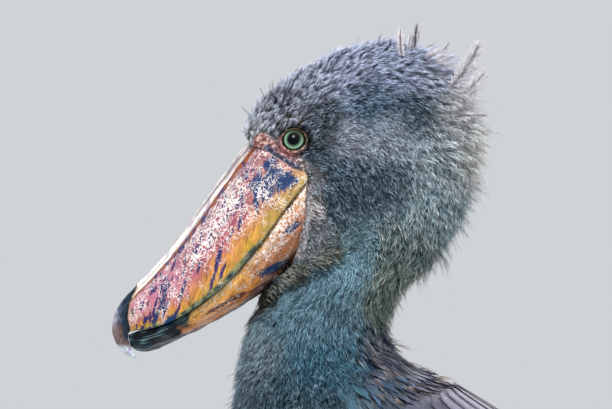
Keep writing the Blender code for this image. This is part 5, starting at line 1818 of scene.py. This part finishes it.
def toe_frame(word, side, toe_name):
    """Where a toe starts on the floor in metres, and its ways forward and across."""
    heading, aside, *_ = TOES[toe_name]
    turn = np.pi - side * np.radians(heading)
    forward = np.array([np.cos(turn), np.sin(turn), 0])
    start = at_eye(FOOT[0] + FOOT_STAGGER[word], side * (FOOT[1] + aside), FLOOR)
    return start, forward, np.array([-np.sin(turn), np.cos(turn), 0])


def make_toe(word, side, toe_name):
    """One toe with its joints, flat under the sole."""
    _, _, length, radius, joints = TOES[toe_name]
    start, forward, across = toe_frame(word, side, toe_name)
    turn = full_turn(28)
    rings = []
    for share in np.linspace(0, 1, 40):
        size = radius * (1 - TOE_TAPER * share) * (1 + JOINT_SWELL * np.cos(2 * np.pi * joints * share))
        past = max(share - TOE_ROUNDING[0], 0) / TOE_ROUNDING[1]
        size *= np.sqrt(np.clip(1 - past**2, 0.15, 1))
        middle = start + forward * (TOE_START + (length - TOE_START) * share) * MM
        high = np.maximum(TOE_SQUASH * size * (1 + np.sin(turn)) - SOLE_SHAVED, 0)
        ring = middle + across * (np.cos(turn) * size * MM)[:, None]
        ring[:, 2] += high * MM
        rings.append(ring)
    return loft_piece(f"{word} {toe_name} toe", rings)


def leg_line(word, side):
    """The leg's own line from the feathers to the foot, with its radii."""
    stagger = FOOT_STAGGER[word]
    top = at_eye(THIGH_END[0], side * THIGH_END[1], THIGH_END[2] + SHIN_HIDDEN)
    start = at_eye(THIGH_END[0], side * THIGH_END[1], THIGH_END[2] - SHIN_STRAIGHT)
    ankle = at_eye(ANKLE[0] + stagger / 2, side * ANKLE[1], ANKLE[2])
    foot = at_eye(FOOT[0] + stagger, side * FOOT[1], FOOT[2])
    rows = [(top, SHIN[0][1])] + [(mix(start, ankle, share), size) for share, size in SHIN]
    rows += [(mix(ankle, foot, share), size) for share, size in TARSUS]
    return [np.array(values) for values in zip(*rows)]


def make_bare_leg(word, side):
    """Shin, ankle, tarsus and toes as one skin with its scales raised."""
    line, sizes = leg_line(word, side)
    way = length_along(line)
    fine = np.linspace(0, way[-1], 150)
    middle, size = read_line(line, fine, way), np.interp(fine, way, sizes)
    for values in (middle, size) * 3:
        values[1:-1] = (values[:-2] + values[1:-1] * 2 + values[2:]) / 4
    turn = full_turn(32)
    ring = np.stack([np.cos(turn), np.sin(turn) * 0.94, 0 * turn], axis=-1)
    made = loft_piece(f"{word}_bare_leg", middle[:, None] + ring * (size * MM)[:, None, None])
    palm = at_eye(FOOT[0] + FOOT_STAGGER[word], side * FOOT[1], FLOOR + PALM_HEIGHT)
    slope, turn = np.meshgrid(np.linspace(0.02, np.pi - 0.02, 24), turn, indexing="ij")
    globe = np.stack([np.sin(slope) * np.cos(turn), np.sin(slope) * np.sin(turn), np.cos(slope)], axis=-1)
    globe = palm + globe * np.array(PALM_HALF) * MM
    globe[..., 2] = np.maximum(globe[..., 2], 0)
    join(made, [loft_piece("palm", globe)] + [make_toe(word, side, toe_name) for toe_name in TOES])
    grain = made.modifiers.new("grain", "REMESH")
    grain.mode = "VOXEL"
    grain.voxel_size = LEG_GRAIN
    soften = made.modifiers.new("soften", "SMOOTH")
    soften.iterations = 3
    join(made, [])
    raise_scales(made, word, side, middle)
    return made


SCALE_COLUMNS = 12
SCALE_DEPTH = 0.55


def scale_creases(points, middle):
    """0 in the creases between the six-sided scales of shin and tarsus, and 1 on the scales."""
    order = np.argsort(middle[:, 2])
    gap = points[:, :2] - read_line(middle[order, :2], points[:, 2], middle[order, 2])
    around = np.arctan2(gap[:, 1], gap[:, 0]) / (2 * np.pi) * SCALE_COLUMNS
    high = points[:, 2] / MM / SCALE_SIZE
    best = np.full((2, len(points)), 9.0)
    for shift in (0, 1):
        for step in (-2, 0, 2):
            row = np.round((high - shift) / 2) * 2 + shift + step
            for aside in (-1, 0, 1):
                column = np.round(around - 0.5 * shift) + 0.5 * shift + aside
                apart = np.hypot(around - column, (high - row) * 0.8)
                best = np.sort(np.concatenate([best, apart[None]]), axis=0)[:2]
    return ease(0.0, 0.22, best[1] - best[0])


def toe_scutes(points, word, side):
    """0 in the creases between the cross scutes of the toes, and 1 on the scutes."""
    scutes, nearest = np.ones(len(points)), np.full(len(points), 100.0)
    for toe_name, (_, _, _, radius, _) in TOES.items():
        start, forward, across = toe_frame(word, side, toe_name)
        along = (points - start) @ forward / MM
        aside = np.abs((points - start) @ across) / MM
        here = (aside < radius * 1.4) & (along > 8) & (aside < nearest)
        band = np.abs((along / SCALE_SIZE + 0.12 * np.sin(along)) % 1.0 - 0.5) * 2
        scutes = np.where(here, 1 - ease(0.62, 1.0, band), scutes)
        nearest = np.where(here, aside, nearest)
    return scutes


def raise_scales(piece, word, side, middle):
    """Presses the creases between the scales into one leg."""
    points, normal = (vertex_values(piece.data, field) for field in ("co", "normal"))
    on_toes = mix(1, toe_scutes(points, word, side), ease(0.2, 0.6, normal[:, 2]))
    raised = mix(on_toes, scale_creases(points, middle), ease(30 * MM, 36 * MM, points[:, 2]))
    points = points + normal * ((raised - 1) * SCALE_DEPTH * MM)[:, None]
    points[:, 2] = np.maximum(points[:, 2], 0)
    piece.data.vertices.foreach_set("co", points.astype(np.float32).ravel())
    label_points(piece.data, scale=raised)
    piece.data.shade_smooth()


def make_claw(word, side, toe_name):
    """One claw, curved down to just over the floor."""
    start, forward, across = toe_frame(word, side, toe_name)
    root = start + forward * (TOES[toe_name][2] - 1.5) * MM
    turn = full_turn(24)
    rings = []
    for share in np.linspace(0, 1, 24):
        size = CLAW_RADIUS * (1 - CLAW_TAPER * share**1.2)
        height = CLAW_HEIGHT - (CLAW_HEIGHT - CLAW_TIP_HEIGHT) * share**2
        middle = root + forward * (CLAW_LENGTH + 1.5) * MM * share
        ridge = 1 + 0.06 * np.abs(np.cos(turn)) ** 6
        ring = middle + across * (np.cos(turn) * size * CLAW_SLIM * ridge * MM)[:, None]
        ring[:, 2] += np.maximum(height + np.sin(turn) * size, 0.2) * MM
        rings.append(ring)
    return loft_piece(f"{word}_{toe_name}_claw_horn", rings)


def vane_finish(add, place):
    """A feather's vane: barbs zipped together at a slant from a dark shaft, matt and finely lined."""
    hue = add("Attribute", attribute_name="hue")
    barb, across = (add("Attribute", attribute_name=label, output=2) for label in ("barb", "across"))
    cloud = add("TexNoise", place, None, 1 / (6 * MM), 3.0)
    wobble = add("Math", cloud, 3.0, barb, operation="MULTIPLY_ADD")
    lines = add("TexNoise", None, wobble, 1.1, 2.0, noise_dimensions="1D")
    level = add("MapRange", lines, 0.3, 0.7, 0.6, 1.4)
    tinted = add("VectorMath", hue, level, operation="MULTIPLY")
    off_shaft = add("Math", across, across, operation="MULTIPLY")
    beside = add("MapRange", off_shaft, 0.0008, 0.004)
    colour = add("Mix", beside, named={6: "2a2c30", 7: tinted}, **RGBA)
    bump = add("Bump", named={"Height": lines, "Strength": 0.5, "Distance": 0.6 * MM})
    return {
        "Base Color": colour, "Normal": bump, "Roughness": 0.55, "IOR": 1.55, "Sheen Weight": 0.1,
        "Sheen Roughness": 0.4, "Specular IOR Level": 0.3,
    }


def leg_finish(add, place):
    """Leg skin: dry horny scales, dark grey, and paler in the creases."""
    scale = add("Attribute", attribute_name="scale", output=2)
    cloud = add("TexNoise", place, None, 1 / (9 * MM), 4.0)
    tone = add("ValToRGB", cloud, stops=((0.35, "26292d"), (0.5, "373b3f"), (0.65, "4c4e4e")))
    colour = add("Mix", scale, named={6: "5b5a55", 7: tone}, **RGBA)
    fine = add("TexNoise", place, None, 1 / (1.5 * MM), 3.0)
    bump = add("Bump", named={"Height": fine, "Strength": 0.4, "Distance": 0.4 * MM})
    gloss = add("MapRange", fine, 0.3, 0.7, 0.42, 0.6)
    return {"Base Color": colour, "Roughness": gloss, "Normal": bump, "IOR": 1.5}


def claw_finish(add, place):
    """Claw horn: near black and smooth, with paler patches."""
    cloud = add("TexNoise", place, None, 1 / (5 * MM), 4.0)
    tone = add("ValToRGB", cloud, stops=((0.35, "16171a"), (0.6, "2e2c2b"), (0.75, "56504a")))
    gloss = add("MapRange", cloud, 0.3, 0.7, 0.24, 0.42)
    bump = add("Bump", named={"Height": cloud, "Strength": 0.3, "Distance": 0.4 * MM})
    return {"Base Color": tone, "Roughness": gloss, "Normal": bump, "IOR": 1.55}


# Studio lights: place in metres, size of the lamp, and share of the light power.
LIGHTS = {
    "key light": ((-0.7, -1.5, 2.7), 0.7, 1.0),
    "fill light": ((1.6, -2.2, 1.3), 1.6, 0.3),
    "back light": ((0.9, 1.8, 2.2), 1.0, 0.6),
}
FRAME_WIDTH = 0.502
FRAME_MIDDLE = (0.0098, -0.0529)
FLOOR_RADIUS = 14
# How far below the horizon the light from above starts to fade, and where only that from below is left.
HORIZON = (-0.04, -0.5)
# Where the lamps point, in metres from the eye.
LIGHTS_AIM = (0.02, 0, -0.1)


def floor_finish(add, place):
    """Matt floor paint, rolled on: the faintest unevenness in its tone."""
    cloud = add("TexNoise", place, None, 1 / (400 * MM), 2.0)
    level = add("MapRange", cloud, 0.3, 0.7, 0.97, 1.02)
    paint = tuple(bpy.context.scene.shoebill_stage.floor_colour)
    tinted = add("VectorMath", paint, level, operation="MULTIPLY")
    grain = add("TexNoise", place, None, 1 / (2 * MM), 2.0)
    bump = add("Bump", named={"Height": grain, "Strength": 0.1, "Distance": 0.2 * MM})
    return {"Base Color": tinted, "Normal": bump, "Roughness": 0.75}


FINISHES = {
    "living skin": skin_finish,
    "feather barbs": barb_finish,
    "feather vane": vane_finish,
    "bill horn": bill_finish,
    "wet eye": eye_finish,
    "eyelid skin": lid_finish,
    "scaled leg skin": leg_finish,
    "claw horn": claw_finish,
    "matt floor paint": floor_finish,
}


def make_stage(stage):
    """Floor, world, lights and the camera."""
    mesh = bpy.data.meshes.new("studio_floor")
    shape = bmesh.new()
    bmesh.ops.create_circle(shape, cap_ends=True, segments=96, radius=FLOOR_RADIUS)
    shape.to_mesh(mesh)
    shape.free()
    floor = bpy.data.objects.new("studio_floor", mesh)
    mesh.materials.append(finish_named("matt floor paint"))
    view = bpy.data.cameras.new("camera")
    camera = bpy.data.objects.new("camera", view)
    world = bpy.data.worlds.new("studio")
    world.use_nodes = True
    world.node_tree.nodes.clear()
    add = partial(add_node, world.node_tree)
    heading = add("SeparateXYZ", add("TexCoord"), output=2)
    level = add("MapRange", heading, *HORIZON, stage.sky_strength, stage.floor_bounce)
    add("OutputWorld", add("Background", (*stage.sky_colour, 1), level), output=None)
    lamps = []
    target = Vector(EYE) + Vector(LIGHTS_AIM)
    for name, (spot, size, share) in LIGHTS.items():
        light = bpy.data.lights.new(name, "AREA")
        light.size = size
        light.energy = stage.light_power * share
        lamp = bpy.data.objects.new(name, light)
        lamp.location = spot
        lamp.rotation_euler = (target - Vector(spot)).to_track_quat("-Z", "Y").to_euler()
        lamps.append(lamp)
    for item in (floor, camera, *lamps):
        bpy.context.collection.objects.link(item)
    distance = stage.camera_distance
    camera.location = (EYE[0] + FRAME_MIDDLE[0], -LID_SIDE * MM - distance, EYE[2] + FRAME_MIDDLE[1])
    camera.rotation_euler = (np.pi / 2, 0, 0)
    view.sensor_width = 36
    view.lens = view.sensor_width * distance / FRAME_WIDTH
    view.clip_end = 60
    bpy.context.scene.world = world
    bpy.context.scene.camera = camera
    bpy.context.scene.view_settings.view_transform = "Standard"


class PlumageSettings(bpy.types.PropertyGroup):
    """Sizes of the tufted coat of head and neck."""

    fullness: FloatProperty(
        name="Fullness", description="How many tufts grow on head and neck", default=1.0, min=0.1
    )
    length: FloatProperty(
        name="Length", description="How long the tufts are, as a share of the usual", default=1.0
    )
    stray_share: FloatProperty(
        name="Strays", description="Share of tufts that stand off the coat", default=0.06, subtype="FACTOR"
    )


class EyeSettings(bpy.types.PropertyGroup):
    """Sizes and colour of the eyes."""

    iris_radius: FloatProperty(
        name="Iris radius", description="Radius of the iris", default=8.0 * MM, unit="LENGTH"
    )
    pupil_radius: FloatProperty(
        name="Pupil radius", description="Radius of the pupil", default=5.2 * MM, unit="LENGTH"
    )
    iris_colour: FloatVectorProperty(
        name="Iris colour", description="Colour in the middle of the iris", subtype="COLOR",
        default=tuple(linear("7da287")),
    )


class StageSettings(bpy.types.PropertyGroup):
    """The plain studio round the bird."""

    camera_distance: FloatProperty(
        name="Camera distance", description="From the camera to the near eye", default=4.0, unit="LENGTH"
    )
    light_power: FloatProperty(
        name="Light power", description="Power of the key light, which the others follow", default=52,
        unit="POWER",
    )
    sky_strength: FloatProperty(
        name="Sky strength", description="Strength of the even light above", default=0.85
    )
    floor_bounce: FloatProperty(
        name="Floor bounce", description="Strength of the even light from below", default=0.3
    )
    sky_colour: FloatVectorProperty(
        name="Sky colour", description="Colour of the even light all round", subtype="COLOR",
        default=tuple(linear("dfe2e6")),
    )
    floor_colour: FloatVectorProperty(
        name="Floor colour", description="Colour of the floor", subtype="COLOR",
        default=tuple(linear("e4e3e0")),
    )


GROUPS = {"shoebill_plumage": PlumageSettings, "shoebill_eyes": EyeSettings, "shoebill_stage": StageSettings}


class MakeSkin(bpy.types.Operator):
    """Lays one skin over head, neck, trunk and thighs"""

    bl_idname = "shoebill.skin"
    bl_label = "Skin"

    def execute(self, context):
        covered = ("head", "neck", "torso", "left_thigh", "right_thigh")
        finish_piece(make_skin(), "living skin", covered)
        return {"FINISHED"}


class MakeCoat(bpy.types.Operator):
    """Grows the tufted coat of head and neck"""

    bl_idname = "shoebill.coat"
    bl_label = "Coat of head and neck"

    def execute(self, context):
        for name in COAT:
            finish_piece(make_coat(name, context.scene.shoebill_plumage), "feather barbs")
        return {"FINISHED"}


class MakeCrest(bpy.types.Operator):
    """Sets the loose plumes behind the crown"""

    bl_idname = "shoebill.crest"
    bl_label = "Crest"

    def execute(self, context):
        finish_piece(make_crest(), "feather barbs")
        return {"FINISHED"}


class MakeBristles(bpy.types.Operator):
    """Sets the bristles of jaw, bill edge and brow"""

    bl_idname = "shoebill.bristles"
    bl_label = "Bristles"

    def execute(self, context):
        finish_piece(make_bristles(), "feather barbs")
        return {"FINISHED"}


class MakeBill(bpy.types.Operator):
    """Sheathes both halves of the bill in horn"""

    bl_idname = "shoebill.bill"
    bl_label = "Bill"

    def execute(self, context):
        for half in ("upper", "lower"):
            finish_piece(make_bill_half(half), "bill horn", (f"{half}_bill",))
        return {"FINISHED"}


class MakeEyes(bpy.types.Operator):
    """Sets both eyeballs and their lids into the skin"""

    bl_idname = "shoebill.eyes"
    bl_label = "Eyes"

    def execute(self, context):
        skin = BVHTree.FromObject(bpy.data.objects["skin"], context.evaluated_depsgraph_get())
        for word, side in SIDES.items():
            finish_piece(make_eye(word, side), "wet eye", (f"{word}_eye",))
            finish_piece(make_lids(word, side, skin), "eyelid skin")
        return {"FINISHED"}


class MakeTrunkFeathers(bpy.types.Operator):
    """Lays the contour feathers of trunk and thighs"""

    bl_idname = "shoebill.trunk"
    bl_label = "Trunk and thigh feathers"

    def execute(self, context):
        for name in TRUNK_FEATHERS:
            finish_piece(make_trunk_feathers(name), "feather vane")
        for word, side in SIDES.items():
            finish_piece(make_thigh_feathers(word, side), "feather vane")
        return {"FINISHED"}


class MakeWings(bpy.types.Operator):
    """Folds both wings over the trunk"""

    bl_idname = "shoebill.wings"
    bl_label = "Wings"

    def execute(self, context):
        for word, side in SIDES.items():
            finish_piece(make_wing_arm(word, side), "feather barbs", (f"{word}_wing",))
            finish_piece(make_wing_feathers(word, side), "feather vane")
        return {"FINISHED"}


class MakeTail(bpy.types.Operator):
    """Closes twelve tail feathers to a fan"""

    bl_idname = "shoebill.tail"
    bl_label = "Tail"

    def execute(self, context):
        finish_piece(make_tail(), "feather vane", ("tail",))
        return {"FINISHED"}


class MakeLegs(bpy.types.Operator):
    """Covers the bare legs and feet in scales"""

    bl_idname = "shoebill.legs"
    bl_label = "Legs and feet"

    def execute(self, context):
        for word, side in SIDES.items():
            covered = [f"{word}_shank"] + [f"{word}_{toe}_toe" for toe in TOES]
            finish_piece(make_bare_leg(word, side), "scaled leg skin", covered)
        return {"FINISHED"}


class MakeClaws(bpy.types.Operator):
    """Puts a claw on every toe"""

    bl_idname = "shoebill.claws"
    bl_label = "Claws"

    def execute(self, context):
        for word, side in SIDES.items():
            for toe in TOES:
                finish_piece(make_claw(word, side, toe), "claw horn", (f"{word}_{toe}_claw",))
        return {"FINISHED"}


class MakeStage(bpy.types.Operator):
    """Sets up floor, lights and camera"""

    bl_idname = "shoebill.stage"
    bl_label = "Studio"

    def execute(self, context):
        make_stage(context.scene.shoebill_stage)
        return {"FINISHED"}


OPERATORS = (
    MakeSkin, MakeCoat, MakeCrest, MakeBristles, MakeBill, MakeEyes, MakeTrunkFeathers, MakeWings, MakeTail,
    MakeLegs, MakeClaws, MakeStage,
)


class ShoebillPanel(bpy.types.Panel):
    """Lists the shoebill's sizes, colours and pieces"""

    bl_idname = "VIEW3D_PT_shoebill"
    bl_label = "Shoebill"
    bl_space_type = "VIEW_3D"
    bl_region_type = "UI"
    bl_category = "Shoebill"

    def draw(self, context):
        for group, kind in GROUPS.items():
            box = self.layout.box()
            for label in kind.__annotations__:
                box.prop(getattr(context.scene, group), label)
        for operator in OPERATORS:
            self.layout.operator(operator.bl_idname)


CLASSES = (*GROUPS.values(), *OPERATORS, ShoebillPanel)


def register():
    for kind in CLASSES:
        bpy.utils.register_class(kind)
    for group, kind in GROUPS.items():
        setattr(bpy.types.Scene, group, PointerProperty(type=kind))


def unregister():
    for group in GROUPS:
        delattr(bpy.types.Scene, group)
    for kind in reversed(CLASSES):
        bpy.utils.unregister_class(kind)


def main():
    """Makes every piece in turn."""
    register()
    for operator in OPERATORS:
        getattr(bpy.ops.shoebill, operator.bl_idname.split(".")[1])()


if __name__ == "__main__":
    main()
